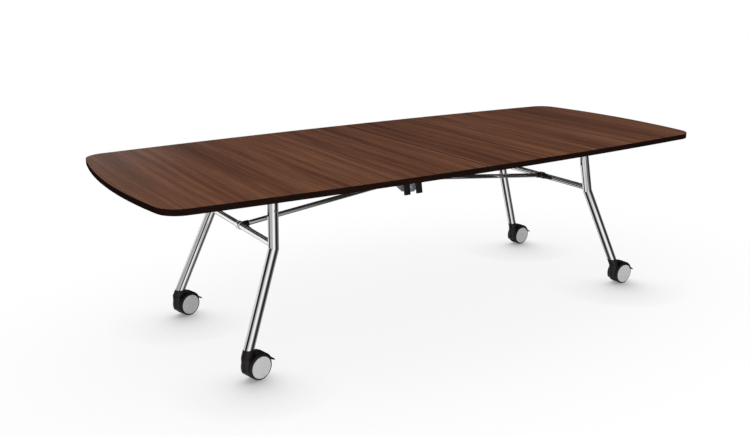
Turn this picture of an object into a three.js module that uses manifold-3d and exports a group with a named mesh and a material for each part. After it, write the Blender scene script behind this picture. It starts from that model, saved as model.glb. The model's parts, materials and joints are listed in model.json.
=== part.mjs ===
// Folding conference table on castors: two leaves, two leg frames and a folding centre.
// Millimetres, +Z up. X runs along the table, -Y is the front, the origin is on the floor under the middle.
import * as THREE from 'three';
import { mergeVertices } from 'three/addons/utils/BufferGeometryUtils.js';
import Module from 'manifold-3d';

const wasm = await Module();
wasm.setup();

// Table top
const tableHeight = 730;
const tableLength = 2630;
const middleWidth = 1090;
const sideBow = 46;
const endBow = 53;
const topThickness = 30;
const cornerRadius = 90;
const edgeUndercut = 45;
const edgeLand = 22;
const splitGap = 1;

// Leg axis: it leaves the top at the head, bends at the knee and ends at the foot
const headX = 788.3;
const headY = 272.5;
const kneeX = 807.5;
const kneeY = 303;
const kneeDrop = 258;
const footX = 947;
const footY = 359.2;
const legDiameter = 40;
const legWall = 2.5;
const legPlugDepth = 40;

// Leg pivot under each leaf
const railWidth = 80;
const railEndMargin = 50;
const railThickness = 4;
const pivotDrop = 88;
const pivotPinDiameter = 10;
const pivotPinStickOut = 2;
const tongueThickness = 10;
const tongueWidth = 34;
const slotClearance = 0.5;
const slotBottomClearance = 3;
const forkRise = 47;

// Cross tubes and tie bars
const crossAboveKnee = 13;
const crossDiameter = 25;
const tieDiameter = 20;
const tubeWall = 2;
const copeClearance = 0.3;
const collarRing = 3;
const collarWidth = 26;
const collarClearance = 0.6;
const sleeveLength = 36;
const sleeveDepth = 18;
const sleeveWall = 2;
const sleeveTaper = 0.6;
const tieEyeRadius = 17;
const tieEyeThickness = 18;
const tieNeckLength = 45;
const tieTubeStart = 28;

// Hinge under the split
const hingeStandoff = 10;
const hingeDrop = 6;
const hingeLength = 765;
const knuckleCount = 5;
const knuckleDiameter = 11;
const knuckleGap = 0.6;
const hingeRodDiameter = 6;
const hingePlateWidth = 42;
const hingePlateThickness = 3;
const hingeLugWidth = 8;
const beamWidth = 80;
const beamDepth = 36;
const beamWall = 3;
const beamTopGap = 2;

// Yoke that carries the inner ends of the tie bars
const yokePlateThickness = 5;
const yokePlateGap = 1.5;
const yokeFlangeWidth = 64;
const yokeFlangeThickness = 6;
const yokeShoulderInset = 2;
const yokeLobeRadius = 20;
const yokeBottomDrop = 55;
const yokeBottomWidth = 48;
const yokeSpacerWidth = 16;
const yokeSpacerHeight = 40;
const tiePinDiameter = 10;
const tiePinHeadDiameter = 16;
const tiePinHeadHeight = 3;

// Release handle and latch bar on the front of the yoke
const handleRise = 30;
const handleStandoff = 10.5;
const handleHubRadius = 7;
const handleShaftDiameter = 6;
const handleBossRise = 16;
const handleArmWidth = 30;
const handleArmInset = 17;
const handleArmLength = 83;
const handleArmLean = 17;
const handleArmThickness = 10;
const handleSideClearance = 0.5;
const latchDrop = 12;
const latchInset = 14;
const latchBarHeight = 10;
const latchBarThickness = 6;
const latchBarEnd = 5;
const latchPadStandoff = 7;
const latchFingerDiameter = 6;
const latchHoleDiameter = 10;
const latchHoleRise = 1.2;
const latchLobeWall = 4;
const latchClearance = 2.5;

// Castors
const wheelDiameter = 100;
const wheelWidth = 20;
const wheelEdge = 3;
const wheelSpacing = 14;
const wheelSideClearance = 0.6;
const coverDiameter = 87;
const coverThickness = 3;
const coverEdge = 1;
const axleDiameter = 8;
const axleEndInset = 1;
const castorTrail = 45;
const hoodClearance = 2;
const hoodThickness = 3;
const hoodOverhang = 1;
const hoodFromAngle = 66;
const hoodToAngle = 205;
const castorHubRadius = 14;
const swivelBossDrop = 8;
const swivelBossHeight = 52;
const swivelBossMargin = 1;
const swivelGap = 0.6;
const swivelReachMargin = 3;
const stemDiameter = 10;
const stemRoot = 10;
const stemLength = 22;
const stemTipGap = 1;
const footCollarHeight = 29;
const footCollarMargin = 0.5;
const spigotLength = 34;

// How far each castor is turned on its swivel, in degrees
const castorTurns = { front_left: 12.5, rear_left: 16.5, front_right: -1.5, rear_right: 3.5 };

// Brake lever at the trailing side of a castor
const brakePivotRadius = 38;
const brakePivotAngle = 32;
const brakeEarRadius = 8;
const brakeHubRadius = 5;
const brakePinDiameter = 5;
const brakePinEndGap = 0.3;
const brakeSlotClearance = 0.4;
const brakeArmThickness = 6;
const brakePedalGap = 2.8;
const brakePedalThickness = 3.2;
const brakePedalInset = 6;
const brakePedalFromAngle = 14;
const brakePedalEndGap = 1.5;
const brakeTabReach = 14;
const brakeTabDrop = 9.5;
const brakeTabTip = 4.5;
const brakeTabRoot = 12;

// Fits and facets
const pinClearance = 0.3;
const seatGap = 0.3;
const cutMargin = 2;
const tubeSides = 16;
const pinSides = 10;
const wheelSides = 24;
const rimSteps = 12;
const arcSteps = 6;
const smallArcSteps = 3;
const pedalSteps = 6;

// Worked-out heights and pivot places
const undersideZ = tableHeight - topThickness;
const kneeHeight = tableHeight - kneeDrop;
const wheelRadius = wheelDiameter / 2;
const hoodInner = wheelRadius + hoodClearance;
const hoodOuter = hoodInner + hoodThickness;
const castorTop = wheelRadius + hoodOuter - swivelBossDrop;
const collarBottom = castorTop + swivelGap;
const footHeight = collarBottom + footCollarHeight;
const legRadius = legDiameter / 2;
const legInner = legRadius - legWall;
const head = new THREE.Vector3(headX, headY, undersideZ - railThickness);
const knee = new THREE.Vector3(kneeX, kneeY, kneeHeight);
const foot = new THREE.Vector3(footX, footY, footHeight);
const legPivot = pointAtHeight(head, knee, undersideZ - pivotDrop);
const crossPlace = pointAtHeight(head, knee, kneeHeight + crossAboveKnee);
const swivelPlace = pointAtHeight(knee, foot, castorTop);
const leafHinge = new THREE.Vector3(beamWidth / 2 + hingeStandoff, 0, undersideZ - hingeDrop);
const tieOuter = new THREE.Vector3(crossPlace.x, 0, crossPlace.z);
const tieInner = new THREE.Vector3(
  leafHinge.x + crossPlace.x - legPivot.x,
  0,
  leafHinge.z + crossPlace.z - legPivot.z,
);
const tieDirection = tieOuter.clone().sub(tieInner).normalize();

// Finishes, from the photograph
const finishes = {
  walnut: { color: 0x5f3d2f, roughness: 0.42, metalness: 0 },
  chrome: { color: 0xe2e3e5, roughness: 0.08, metalness: 1 },
  steel: { color: 0x8d8f92, roughness: 0.38, metalness: 1 },
  blackPlastic: { color: 0x1d1a19, roughness: 0.5, metalness: 0 },
  blackTyre: { color: 0x242120, roughness: 0.75, metalness: 0 },
  silver: { color: 0xc4c5c8, roughness: 0.35, metalness: 0.7 },
};

const table = new THREE.Group();

function pointAtHeight(from, to, height) {
  return from.clone().lerp(to, (height - from.z) / (to.z - from.z));
}

// A closed geometry becomes a solid that can be joined and cut
function toSolid(geometry) {
  const bare = geometry.clone();
  bare.deleteAttribute('normal');
  bare.deleteAttribute('uv');
  const welded = mergeVertices(bare);
  const corners = welded.index.array;
  const triangles = [];
  for (let i = 0; i < corners.length; i += 3) {
    const [a, b, c] = [corners[i], corners[i + 1], corners[i + 2]];
    if (a !== b && b !== c && c !== a) triangles.push(a, b, c);
  }
  return new wasm.Manifold(new wasm.Mesh({
    numProp: 3,
    vertProperties: Float32Array.from(welded.attributes.position.array),
    triVerts: Uint32Array.from(triangles),
  }));
}

function toGeometry(solid) {
  const mesh = solid.getMesh();
  const geometry = new THREE.BufferGeometry();
  geometry.setAttribute('position', new THREE.BufferAttribute(mesh.vertProperties, mesh.numProp));
  geometry.setIndex(new THREE.BufferAttribute(mesh.triVerts, 1));
  geometry.computeVertexNormals();
  return geometry;
}

function join(first, ...others) {
  return others.reduce((sum, other) => sum.add(other), first);
}

function cut(first, ...tools) {
  return tools.reduce((rest, tool) => rest.subtract(tool), first);
}

function addPiece(parent, name, solid, finish) {
  const mesh = new THREE.Mesh(toGeometry(solid), new THREE.MeshStandardMaterial(finishes[finish]));
  mesh.name = name;
  parent.add(mesh);
  return mesh;
}

function block(x0, x1, y0, y1, z0, z1) {
  const geometry = new THREE.BoxGeometry(x1 - x0, y1 - y0, z1 - z0);
  geometry.translate((x0 + x1) / 2, (y0 + y1) / 2, (z0 + z1) / 2);
  return toSolid(geometry);
}

// A round bar between two points, tapered if the two radii differ
function bar(from, to, radius, sides, endRadius = radius) {
  const axis = to.clone().sub(from);
  const geometry = new THREE.CylinderGeometry(endRadius, radius, axis.length(), sides);
  const upright = new THREE.Vector3(0, 1, 0);
  geometry.applyQuaternion(new THREE.Quaternion().setFromUnitVectors(upright, axis.normalize()));
  const middle = from.clone().lerp(to, 0.5);
  geometry.translate(middle.x, middle.y, middle.z);
  return toSolid(geometry);
}

function barAlongY(x, z, y0, y1, radius, sides) {
  return bar(new THREE.Vector3(x, y0, z), new THREE.Vector3(x, y1, z), radius, sides);
}

function barAlongZ(x, y, z0, z1, radius, sides) {
  return bar(new THREE.Vector3(x, y, z0), new THREE.Vector3(x, y, z1), radius, sides);
}

// A plate whose outline is drawn as (x, z) and whose thickness runs along Y
function sidePlate(outline, y0, y1, steps = arcSteps) {
  const geometry = new THREE.ExtrudeGeometry(outline, {
    depth: y1 - y0,
    bevelEnabled: false,
    curveSegments: steps,
  });
  geometry.rotateX(Math.PI / 2);
  geometry.translate(0, y1, 0);
  return toSolid(geometry);
}

// A plate whose outline is drawn as (y, z) and whose thickness runs along X
function crossPlate(outline, x0, x1) {
  const geometry = new THREE.ExtrudeGeometry(outline, {
    depth: x1 - x0,
    bevelEnabled: false,
    curveSegments: smallArcSteps,
  });
  const turn = new THREE.Matrix4().makeBasis(
    new THREE.Vector3(0, 1, 0),
    new THREE.Vector3(0, 0, 1),
    new THREE.Vector3(1, 0, 0),
  );
  geometry.applyMatrix4(turn);
  geometry.translate(x0, 0, 0);
  return toSolid(geometry);
}

// A body of revolution about the Y axis, turned so that a flat and not a corner faces the floor
function turnedPiece(profile, sides) {
  const points = profile.map(([radius, along]) => new THREE.Vector2(radius, along));
  return toSolid(new THREE.LatheGeometry(points, sides, Math.PI / sides));
}

// A closed skin over rings of points, with a fan at each end
function skin(rings, firstCentre, lastCentre) {
  const count = rings[0].length;
  const end = (rings.length - 1) * count;
  const first = end + count;
  const last = first + 1;
  const points = [...rings.flat(), firstCentre, lastCentre];
  const index = [];
  for (let i = 0; i < count; i += 1) {
    const next = (i + 1) % count;
    index.push(first, next, i, last, end + i, end + next);
    for (let ringStart = 0; ringStart < end; ringStart += count) {
      const above = ringStart + count;
      index.push(ringStart + i, ringStart + next, above + next);
      index.push(ringStart + i, above + next, above + i);
    }
  }
  const geometry = new THREE.BufferGeometry().setFromPoints(points);
  geometry.setIndex(index);
  return toSolid(geometry);
}

// A round bar along a bent axis: mitred at its corners and cut level at both ends
function bentBar(corners, radius, sides) {
  const stretches = corners.slice(1).map((corner, i) => corner.clone().sub(corners[i]).normalize());
  const level = new THREE.Vector3(0, 0, 1);
  const planeNormals = corners.map((corner, i) => {
    const atEnd = i === 0 || i === corners.length - 1;
    return atEnd ? level : stretches[i - 1].clone().add(stretches[i]).normalize();
  });
  const across = new THREE.Vector3(0, 1, 0).cross(stretches[0]).normalize();
  const along = stretches[0].clone().cross(across);
  let ring = Array.from({ length: sides }, (_, i) => {
    const angle = (2 * Math.PI * i) / sides;
    return corners[0].clone()
      .addScaledVector(across, radius * Math.cos(angle))
      .addScaledVector(along, radius * Math.sin(angle));
  });
  const rings = corners.map((corner, i) => {
    const direction = stretches[Math.max(i - 1, 0)];
    const normal = planeNormals[i];
    ring = ring.map((point) => {
      const distance = corner.clone().sub(point).dot(normal) / direction.dot(normal);
      return point.clone().addScaledVector(direction, distance);
    });
    return ring;
  });
  return skin(rings, corners[0], corners[corners.length - 1]);
}

// Rim of a leaf, drawn inside its full outline by an even inset: a bowed side, a rounded corner, a bowed
// end, and back again
function leafRim(inset, height) {
  const halfMiddle = middleWidth / 2;
  const halfCorner = halfMiddle - sideBow;
  const halfLength = tableLength / 2;
  const cornerX = halfLength - endBow;
  const sideRadius = (cornerX ** 2 + sideBow ** 2) / (2 * sideBow);
  const endRadius = (halfCorner ** 2 + endBow ** 2) / (2 * endBow);
  const sideCentre = new THREE.Vector2(0, sideRadius - halfMiddle);
  const endCentre = new THREE.Vector2(halfLength - endRadius, 0);

  // The corner circle touches both arcs from inside
  const toEnd = endCentre.clone().sub(sideCentre);
  const apart = toEnd.length();
  const sideReach = sideRadius - cornerRadius;
  const endReach = endRadius - cornerRadius;
  const reachAlong = (sideReach ** 2 - endReach ** 2 + apart ** 2) / (2 * apart);
  const reachAcross = Math.sqrt(sideReach ** 2 - reachAlong ** 2);
  toEnd.normalize();
  const corner = sideCentre.clone()
    .addScaledVector(toEnd, reachAlong)
    .addScaledVector(new THREE.Vector2(-toEnd.y, toEnd.x), reachAcross);

  const splitAngle = Math.asin(splitGap / 2 / (sideRadius - inset)) - Math.PI / 2;
  const sideAngle = Math.atan2(corner.y - sideCentre.y, corner.x);
  const endAngle = Math.atan2(corner.y, corner.x - endCentre.x);
  const arcs = [
    [0, sideCentre.y, sideRadius, splitAngle, sideAngle],
    [corner.x, corner.y, cornerRadius, sideAngle, endAngle],
    [endCentre.x, 0, endRadius, endAngle, -endAngle],
    [corner.x, -corner.y, cornerRadius, -endAngle, -sideAngle],
    [0, -sideCentre.y, sideRadius, -sideAngle, -splitAngle],
  ];
  const onArc = ([x, y, radius, from, to], share) => {
    const angle = from + (to - from) * share;
    const reach = radius - inset;
    return new THREE.Vector3(x + reach * Math.cos(angle), y + reach * Math.sin(angle), height);
  };
  const rim = arcs.flatMap((arc) => (
    Array.from({ length: rimSteps }, (_, i) => onArc(arc, i / rimSteps))
  ));
  return [...rim, onArc(arcs[arcs.length - 1], 1)];
}

// Table leaf: an upright edge, then a shallow bevel that runs in under it to the underside
function topPanel() {
  const middleX = tableLength / 4;
  return skin(
    [leafRim(edgeUndercut, undersideZ), leafRim(0, tableHeight - edgeLand), leafRim(0, tableHeight)],
    new THREE.Vector3(middleX, 0, undersideZ),
    new THREE.Vector3(middleX, 0, tableHeight),
  );
}

// Knuckles of the long hinge: even places belong to the leaf, odd ones to the beam
function knucklePlaces(parity) {
  const pitch = hingeLength / knuckleCount;
  const places = [];
  for (let i = parity; i < knuckleCount; i += 2) {
    const start = i * pitch - hingeLength / 2;
    places.push([start + knuckleGap / 2, start + pitch - knuckleGap / 2]);
  }
  return places;
}

function hingeBore(side) {
  const reach = hingeLength / 2 + cutMargin;
  const radius = hingeRodDiameter / 2 + pinClearance;
  return barAlongY(side * leafHinge.x, leafHinge.z, -reach, reach, radius, pinSides);
}

function hingeLeaf() {
  const plateBottom = undersideZ - hingePlateThickness;
  const plateStart = leafHinge.x + hingeLugWidth;
  const plateEnd = plateStart + hingePlateWidth;
  const halfLength = hingeLength / 2;
  let leaf = block(plateStart, plateEnd, -halfLength, halfLength, plateBottom, undersideZ);
  for (const [y0, y1] of knucklePlaces(0)) {
    const knuckle = barAlongY(leafHinge.x, leafHinge.z, y0, y1, knuckleDiameter / 2, pinSides);
    const lug = block(leafHinge.x, plateStart + cutMargin, y0, y1, plateBottom, undersideZ);
    leaf = join(leaf, knuckle, lug);
  }
  return cut(leaf, hingeBore(1));
}

function hingeRod(side) {
  const reach = hingeLength / 2;
  return barAlongY(side * leafHinge.x, leafHinge.z, -reach, reach, hingeRodDiameter / 2, pinSides);
}

const beamTop = undersideZ - beamTopGap;
const beamBottom = beamTop - beamDepth;

function hingeBeam() {
  const halfWidth = beamWidth / 2;
  const halfLength = hingeLength / 2;
  const innerHalf = halfWidth - beamWall;
  const openEnd = halfLength + cutMargin;
  let beam = block(-halfWidth, halfWidth, -halfLength, halfLength, beamBottom, beamTop);
  beam = cut(
    beam,
    block(-innerHalf, innerHalf, -openEnd, openEnd, beamBottom + beamWall, beamTop - beamWall),
  );
  for (const side of [-1, 1]) {
    const wallMiddle = side * (halfWidth - beamWall / 2);
    const lugX = [wallMiddle, side * leafHinge.x].sort((a, b) => a - b);
    for (const [y0, y1] of knucklePlaces(1)) {
      const knuckle = barAlongY(side * leafHinge.x, leafHinge.z, y0, y1, knuckleDiameter / 2, pinSides);
      const lug = block(...lugX, y0, y1, leafHinge.z - knuckleDiameter / 2, leafHinge.z);
      beam = join(beam, knuckle, lug);
    }
    beam = cut(beam, hingeBore(side));
  }
  return beam;
}

// Mount rail under a leaf, with one tongue for each leg
function legMountRail() {
  const halfWidth = railWidth / 2;
  const halfLength = legPivot.y + railEndMargin;
  const boreRadius = pivotPinDiameter / 2 + pinClearance;
  const tongueRadius = tongueWidth / 2;
  let rail = block(
    legPivot.x - halfWidth,
    legPivot.x + halfWidth,
    -halfLength,
    halfLength,
    undersideZ - railThickness,
    undersideZ,
  );
  for (const side of [-1, 1]) {
    const y0 = side * legPivot.y - tongueThickness / 2;
    const y1 = y0 + tongueThickness;
    const outline = new THREE.Shape();
    outline.absarc(legPivot.x, legPivot.z, tongueRadius, Math.PI, 2 * Math.PI, false);
    outline.lineTo(legPivot.x + tongueRadius, undersideZ - railThickness / 2);
    outline.lineTo(legPivot.x - tongueRadius, undersideZ - railThickness / 2);
    const bore = barAlongY(legPivot.x, legPivot.z, y0 - cutMargin, y1 + cutMargin, boreRadius, pinSides);
    rail = join(rail, cut(sidePlate(outline, y0, y1), bore));
  }
  return rail;
}

// Places on the leg at one side of the table, the front being -1
function sided(point, side) {
  return new THREE.Vector3(point.x, side * point.y, point.z);
}

function leg(side) {
  const top = pointAtHeight(head, knee, legPivot.z + forkRise);
  const slotHalf = tongueThickness / 2 + slotClearance;
  const slotBottom = legPivot.z - tongueWidth / 2 - slotBottomClearance;
  const boreTop = pointAtHeight(head, knee, slotBottom - legPlugDepth);
  const belowFoot = pointAtHeight(knee, foot, footHeight - cutMargin);
  const axis = [foot, knee, top].map((point) => sided(point, side));
  const hollowAxis = [belowFoot, knee, boreTop].map((point) => sided(point, side));
  const outer = bentBar(axis, legRadius, tubeSides);
  const inner = bentBar(hollowAxis, legInner, tubeSides);
  const slot = block(
    legPivot.x - legDiameter,
    legPivot.x + legDiameter,
    side * legPivot.y - slotHalf,
    side * legPivot.y + slotHalf,
    slotBottom,
    top.z + cutMargin,
  );
  const reach = legDiameter;
  const middle = side * legPivot.y;
  const radius = pivotPinDiameter / 2 + pinClearance;
  const bore = barAlongY(legPivot.x, legPivot.z, middle - reach, middle + reach, radius, pinSides);
  return cut(outer, inner, slot, bore);
}

function legPin(side) {
  const reach = legRadius + pivotPinStickOut;
  const middle = side * legPivot.y;
  return barAlongY(legPivot.x, legPivot.z, middle - reach, middle + reach, pivotPinDiameter / 2, pinSides);
}

// Cross tube between the two legs of a frame, coped round them
function crossTube() {
  const radius = crossDiameter / 2;
  const reach = crossPlace.y;
  const hollowReach = reach + cutMargin;
  const tube = cut(
    barAlongY(crossPlace.x, crossPlace.z, -reach, reach, radius, tubeSides),
    barAlongY(crossPlace.x, crossPlace.z, -hollowReach, hollowReach, radius - tubeWall, tubeSides),
  );
  const top = pointAtHeight(head, knee, legPivot.z);
  const copes = [-1, 1].map((side) => {
    const axis = [foot, knee, top].map((point) => sided(point, side));
    return bentBar(axis, legRadius + copeClearance, tubeSides);
  });
  return cut(tube, ...copes);
}

// Socket that closes a leg and holds the castor stem
function footSocket(side) {
  const collarRadius = legRadius + footCollarMargin;
  const seat = footHeight - seatGap;
  const low = pointAtHeight(knee, foot, collarBottom);
  const high = pointAtHeight(knee, foot, seat);
  const spigotTop = pointAtHeight(knee, foot, seat + spigotLength);
  const collar = bentBar([sided(low, side), sided(high, side)], collarRadius, tubeSides);
  const spigot = bentBar([sided(low, side), sided(spigotTop, side)], legInner - pinClearance, tubeSides);
  const hole = barAlongZ(
    swivelPlace.x,
    side * swivelPlace.y,
    collarBottom - cutMargin,
    castorTop + stemLength + stemTipGap,
    stemDiameter / 2 + pinClearance,
    pinSides,
  );
  return cut(join(collar, spigot), hole);
}

function alongTie(from, distance) {
  return from.clone().addScaledVector(tieDirection, distance);
}

// Tie bar: an eye for the yoke pin with a lobe for the latch, then a tube
function tieBar() {
  const radius = tieDiameter / 2;
  const tubeEnd = alongTie(tieOuter, sleeveDepth - sleeveLength - seatGap);
  const lobeX = tieInner.x - latchInset;
  const lobeZ = tieInner.z - latchDrop + latchHoleRise;
  const half = tieEyeThickness / 2;
  const lobeRadius = latchHoleDiameter / 2 + latchLobeWall;
  const eye = barAlongY(tieInner.x, tieInner.z, -half, half, tieEyeRadius, tubeSides);
  const lobe = barAlongY(lobeX, lobeZ, -half, half, lobeRadius, tubeSides);
  const neck = bar(tieInner, alongTie(tieInner, tieNeckLength), half, tubeSides);
  const tube = bar(alongTie(tieInner, tieTubeStart), tubeEnd, radius, tubeSides);
  const reach = tieEyeThickness;
  return cut(
    join(eye, lobe, neck, tube),
    bar(alongTie(tieInner, tieNeckLength), alongTie(tubeEnd, cutMargin), radius - tubeWall, tubeSides),
    barAlongY(tieInner.x, tieInner.z, -reach, reach, tiePinDiameter / 2 + pinClearance, pinSides),
    barAlongY(lobeX, lobeZ, -reach, reach, latchHoleDiameter / 2, pinSides),
  );
}

// Collar round the cross tube, with a sleeve for the tie bar
function tieCollar() {
  const half = collarWidth / 2;
  const boreRadius = crossDiameter / 2 + collarClearance;
  const socketRadius = tieDiameter / 2 + pinClearance;
  const sleeveEnd = alongTie(tieOuter, -sleeveLength);
  const sleeveRadius = socketRadius + sleeveWall;
  const ring = barAlongY(tieOuter.x, tieOuter.z, -half, half, boreRadius + collarRing, tubeSides);
  const sleeve = bar(tieOuter, sleeveEnd, sleeveRadius + sleeveTaper, tubeSides, sleeveRadius);
  const socketEnd = alongTie(sleeveEnd, -cutMargin);
  return cut(
    join(ring, sleeve),
    barAlongY(tieOuter.x, tieOuter.z, -collarWidth, collarWidth, boreRadius, tubeSides),
    bar(alongTie(sleeveEnd, sleeveDepth), socketEnd, socketRadius, tubeSides),
  );
}

const yokeInner = tieEyeThickness / 2 + yokePlateGap;
const yokeOuter = yokeInner + yokePlateThickness;
const handleY = -yokeOuter - handleStandoff;
const handleZ = tieInner.z + handleRise;
const latchX = tieInner.x - latchInset;
const latchZ = tieInner.z - latchDrop;

// Yoke under the beam: two plates on a flange, a spacer between them and a boss for the handle
function tieYoke() {
  const flangeBottom = beamBottom - yokeFlangeThickness;
  const flangeMiddle = flangeBottom + yokeFlangeThickness / 2;
  const shoulder = beamWidth / 2 - yokeShoulderInset;
  const bottomHalf = yokeBottomWidth / 2;
  const bottomZ = tieInner.z - yokeBottomDrop;
  const outline = new THREE.Shape();
  outline.absarc(-tieInner.x, tieInner.z, yokeLobeRadius, Math.PI, 1.5 * Math.PI, false);
  outline.lineTo(-bottomHalf, bottomZ);
  outline.lineTo(bottomHalf, bottomZ);
  outline.absarc(tieInner.x, tieInner.z, yokeLobeRadius, -0.5 * Math.PI, 0, false);
  outline.lineTo(shoulder, flangeMiddle);
  outline.lineTo(-shoulder, flangeMiddle);
  const flangeHalf = yokeFlangeWidth / 2;
  const spacerHalf = yokeSpacerWidth / 2;
  const spacerBottom = flangeBottom - yokeSpacerHeight;
  const bossHalf = handleArmInset - handleSideClearance;
  const bossEnd = handleY - handleHubRadius;
  const bossTop = handleZ + handleBossRise / 2;
  const yoke = join(
    sidePlate(outline, -yokeOuter, -yokeInner, smallArcSteps),
    sidePlate(outline, yokeInner, yokeOuter, smallArcSteps),
    block(-shoulder, shoulder, -flangeHalf, flangeHalf, flangeBottom, beamBottom),
    block(-spacerHalf, spacerHalf, -yokeOuter, yokeOuter, spacerBottom, flangeMiddle),
    block(-bossHalf, bossHalf, bossEnd, -yokeInner, bossTop - handleBossRise, bossTop),
  );
  const reach = 2 * yokeOuter;
  const pinRadius = tiePinDiameter / 2 + pinClearance;
  const shaftHole = bar(
    new THREE.Vector3(-handleArmInset, handleY, handleZ),
    new THREE.Vector3(handleArmInset, handleY, handleZ),
    handleShaftDiameter / 2 + pinClearance,
    pinSides,
  );
  const holes = [-1, 1].flatMap((side) => [
    barAlongY(side * tieInner.x, tieInner.z, -reach, reach, pinRadius, pinSides),
    barAlongY(side * latchX, latchZ + latchHoleRise, -reach, reach, latchHoleDiameter / 2, pinSides),
  ]);
  return cut(yoke, shaftHole, ...holes);
}

function tiePin(side) {
  const x = side * tieInner.x;
  const headStart = -yokeOuter - tiePinHeadHeight;
  return join(
    barAlongY(x, tieInner.z, -yokeOuter - tiePinHeadHeight / 2, yokeOuter, tiePinDiameter / 2, pinSides),
    barAlongY(x, tieInner.z, headStart, -yokeOuter, tiePinHeadDiameter / 2, pinSides),
  );
}

// Handle: two hanging arms on one shaft, each with a flat pad for the latch bar
function releaseHandle() {
  const padY = handleY - latchPadStandoff;
  const padHalf = latchBarHeight / 2 + 1;
  const endRadius = handleArmThickness / 2;
  const endY = handleY - handleArmLean;
  const endZ = handleZ - handleArmLength;
  const outline = new THREE.Shape();
  outline.absarc(handleY, handleZ, handleHubRadius, 0, Math.PI, false);
  outline.absarc(endY, endZ, endRadius, Math.PI, 2 * Math.PI, false);
  outline.lineTo(padY, latchZ - padHalf);
  outline.lineTo(padY, latchZ + padHalf);
  const armOuter = handleArmInset + handleArmWidth;
  return join(
    crossPlate(outline, handleArmInset, armOuter),
    crossPlate(outline, -armOuter, -handleArmInset),
    bar(
      new THREE.Vector3(-armOuter, handleY, handleZ),
      new THREE.Vector3(armOuter, handleY, handleZ),
      handleShaftDiameter / 2,
      pinSides,
    ),
  );
}

// Latch bar behind the handle arms; its fingers stop short of the tie eyes while the handle is pulled
function latchBar() {
  const barFront = handleY - latchPadStandoff;
  const barBack = barFront + latchBarThickness;
  const half = latchBarHeight / 2;
  const end = latchX + latchBarEnd;
  const tip = -tieEyeThickness / 2 - latchClearance;
  const fingers = [-1, 1].map((side) => barAlongY(
    side * latchX,
    latchZ,
    barFront + latchBarThickness / 2,
    tip,
    latchFingerDiameter / 2,
    pinSides,
  ));
  return join(block(-end, end, barFront, barBack, latchZ - half, latchZ + half), ...fingers);
}

// Castor pieces are drawn about their swivel axis, standing on the floor
const wheelInnerY = wheelSpacing / 2;
const wheelOuterY = wheelInnerY + wheelWidth;
const webHalf = wheelInnerY - wheelSideClearance;
const degrees = Math.PI / 180;
const brakePivotX = castorTrail + brakePivotRadius * Math.cos(brakePivotAngle * degrees);
const brakePivotZ = wheelRadius + brakePivotRadius * Math.sin(brakePivotAngle * degrees);

function castorBody() {
  const sector = (radius, from, to) => {
    const outline = new THREE.Shape();
    outline.absarc(castorTrail, wheelRadius, radius, from * degrees, to * degrees, false);
    outline.lineTo(castorTrail, wheelRadius);
    return outline;
  };
  const hood = sector(hoodOuter, hoodFromAngle, hoodToAngle);
  const web = sector(brakePivotRadius, brakePivotAngle, (hoodFromAngle + hoodToAngle) / 2);
  const hoodHalf = wheelOuterY + hoodOverhang;
  const bossRadius = legRadius + swivelBossMargin;
  const solid = join(
    sidePlate(hood, -hoodHalf, hoodHalf),
    sidePlate(web, -webHalf, webHalf),
    barAlongY(castorTrail, wheelRadius, -webHalf, webHalf, castorHubRadius, tubeSides),
    barAlongY(brakePivotX, brakePivotZ, -webHalf, webHalf, brakeEarRadius, pinSides),
    barAlongZ(0, 0, castorTop - swivelBossHeight, castorTop, bossRadius, tubeSides),
  );
  const wellEnd = wheelOuterY + coverThickness + cutMargin;
  const wells = [[webHalf, wellEnd], [-wellEnd, -webHalf]].map(([y0, y1]) => (
    barAlongY(castorTrail, wheelRadius, y0, y1, hoodInner, wheelSides)
  ));

  // The hood keeps clear of the leaning leg end as the castor swivels
  const lean = Math.hypot(foot.x - knee.x, foot.y - knee.y) / (knee.z - foot.z);
  const rise = wheelRadius + hoodOuter - castorTop;
  const legReach = (legRadius + footCollarMargin) * Math.hypot(1, lean) + lean * rise;
  const sweep = barAlongZ(0, 0, castorTop, castorTop + hoodOuter, legReach + swivelReachMargin, tubeSides);
  const slotHalf = brakeArmThickness / 2 + brakeSlotClearance;
  const slotRadius = brakeEarRadius + brakeSlotClearance;
  const pinBore = brakePinDiameter / 2 + pinClearance;
  const reach = webHalf + cutMargin;
  const body = cut(
    solid,
    ...wells,
    sweep,
    barAlongY(brakePivotX, brakePivotZ, -slotHalf, slotHalf, slotRadius, pinSides),
    barAlongY(brakePivotX, brakePivotZ, -reach, reach, pinBore, pinSides),
  );

  // The stem and the axle are moulded in
  const stemTop = castorTop + stemLength;
  const axleReach = wheelOuterY - axleEndInset;
  return join(
    body,
    barAlongZ(0, 0, castorTop - stemRoot, stemTop, stemDiameter / 2, pinSides),
    barAlongY(castorTrail, wheelRadius, -axleReach, axleReach, axleDiameter / 2, pinSides),
  );
}

// Wheels and covers are turned about their own axis, then hung on the axle
const wheelRim = wheelRadius / Math.cos(Math.PI / wheelSides);

function wheel() {
  const bore = axleDiameter / 2 + pinClearance;
  const shoulder = wheelRim - wheelEdge;
  const profile = [
    [bore, wheelInnerY],
    [shoulder, wheelInnerY],
    [wheelRim, wheelInnerY + wheelEdge],
    [wheelRim, wheelOuterY - wheelEdge],
    [shoulder, wheelOuterY],
    [bore, wheelOuterY],
    [bore, wheelInnerY],
  ];
  return turnedPiece(profile, wheelSides);
}

function wheelCover() {
  const radius = coverDiameter / 2;
  const back = wheelOuterY + seatGap;
  const face = wheelOuterY + coverThickness;
  const profile = [
    [0, back],
    [radius, back],
    [radius, face - coverEdge],
    [radius - coverThickness, face],
    [0, face],
  ];
  return turnedPiece(profile, wheelSides);
}

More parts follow.
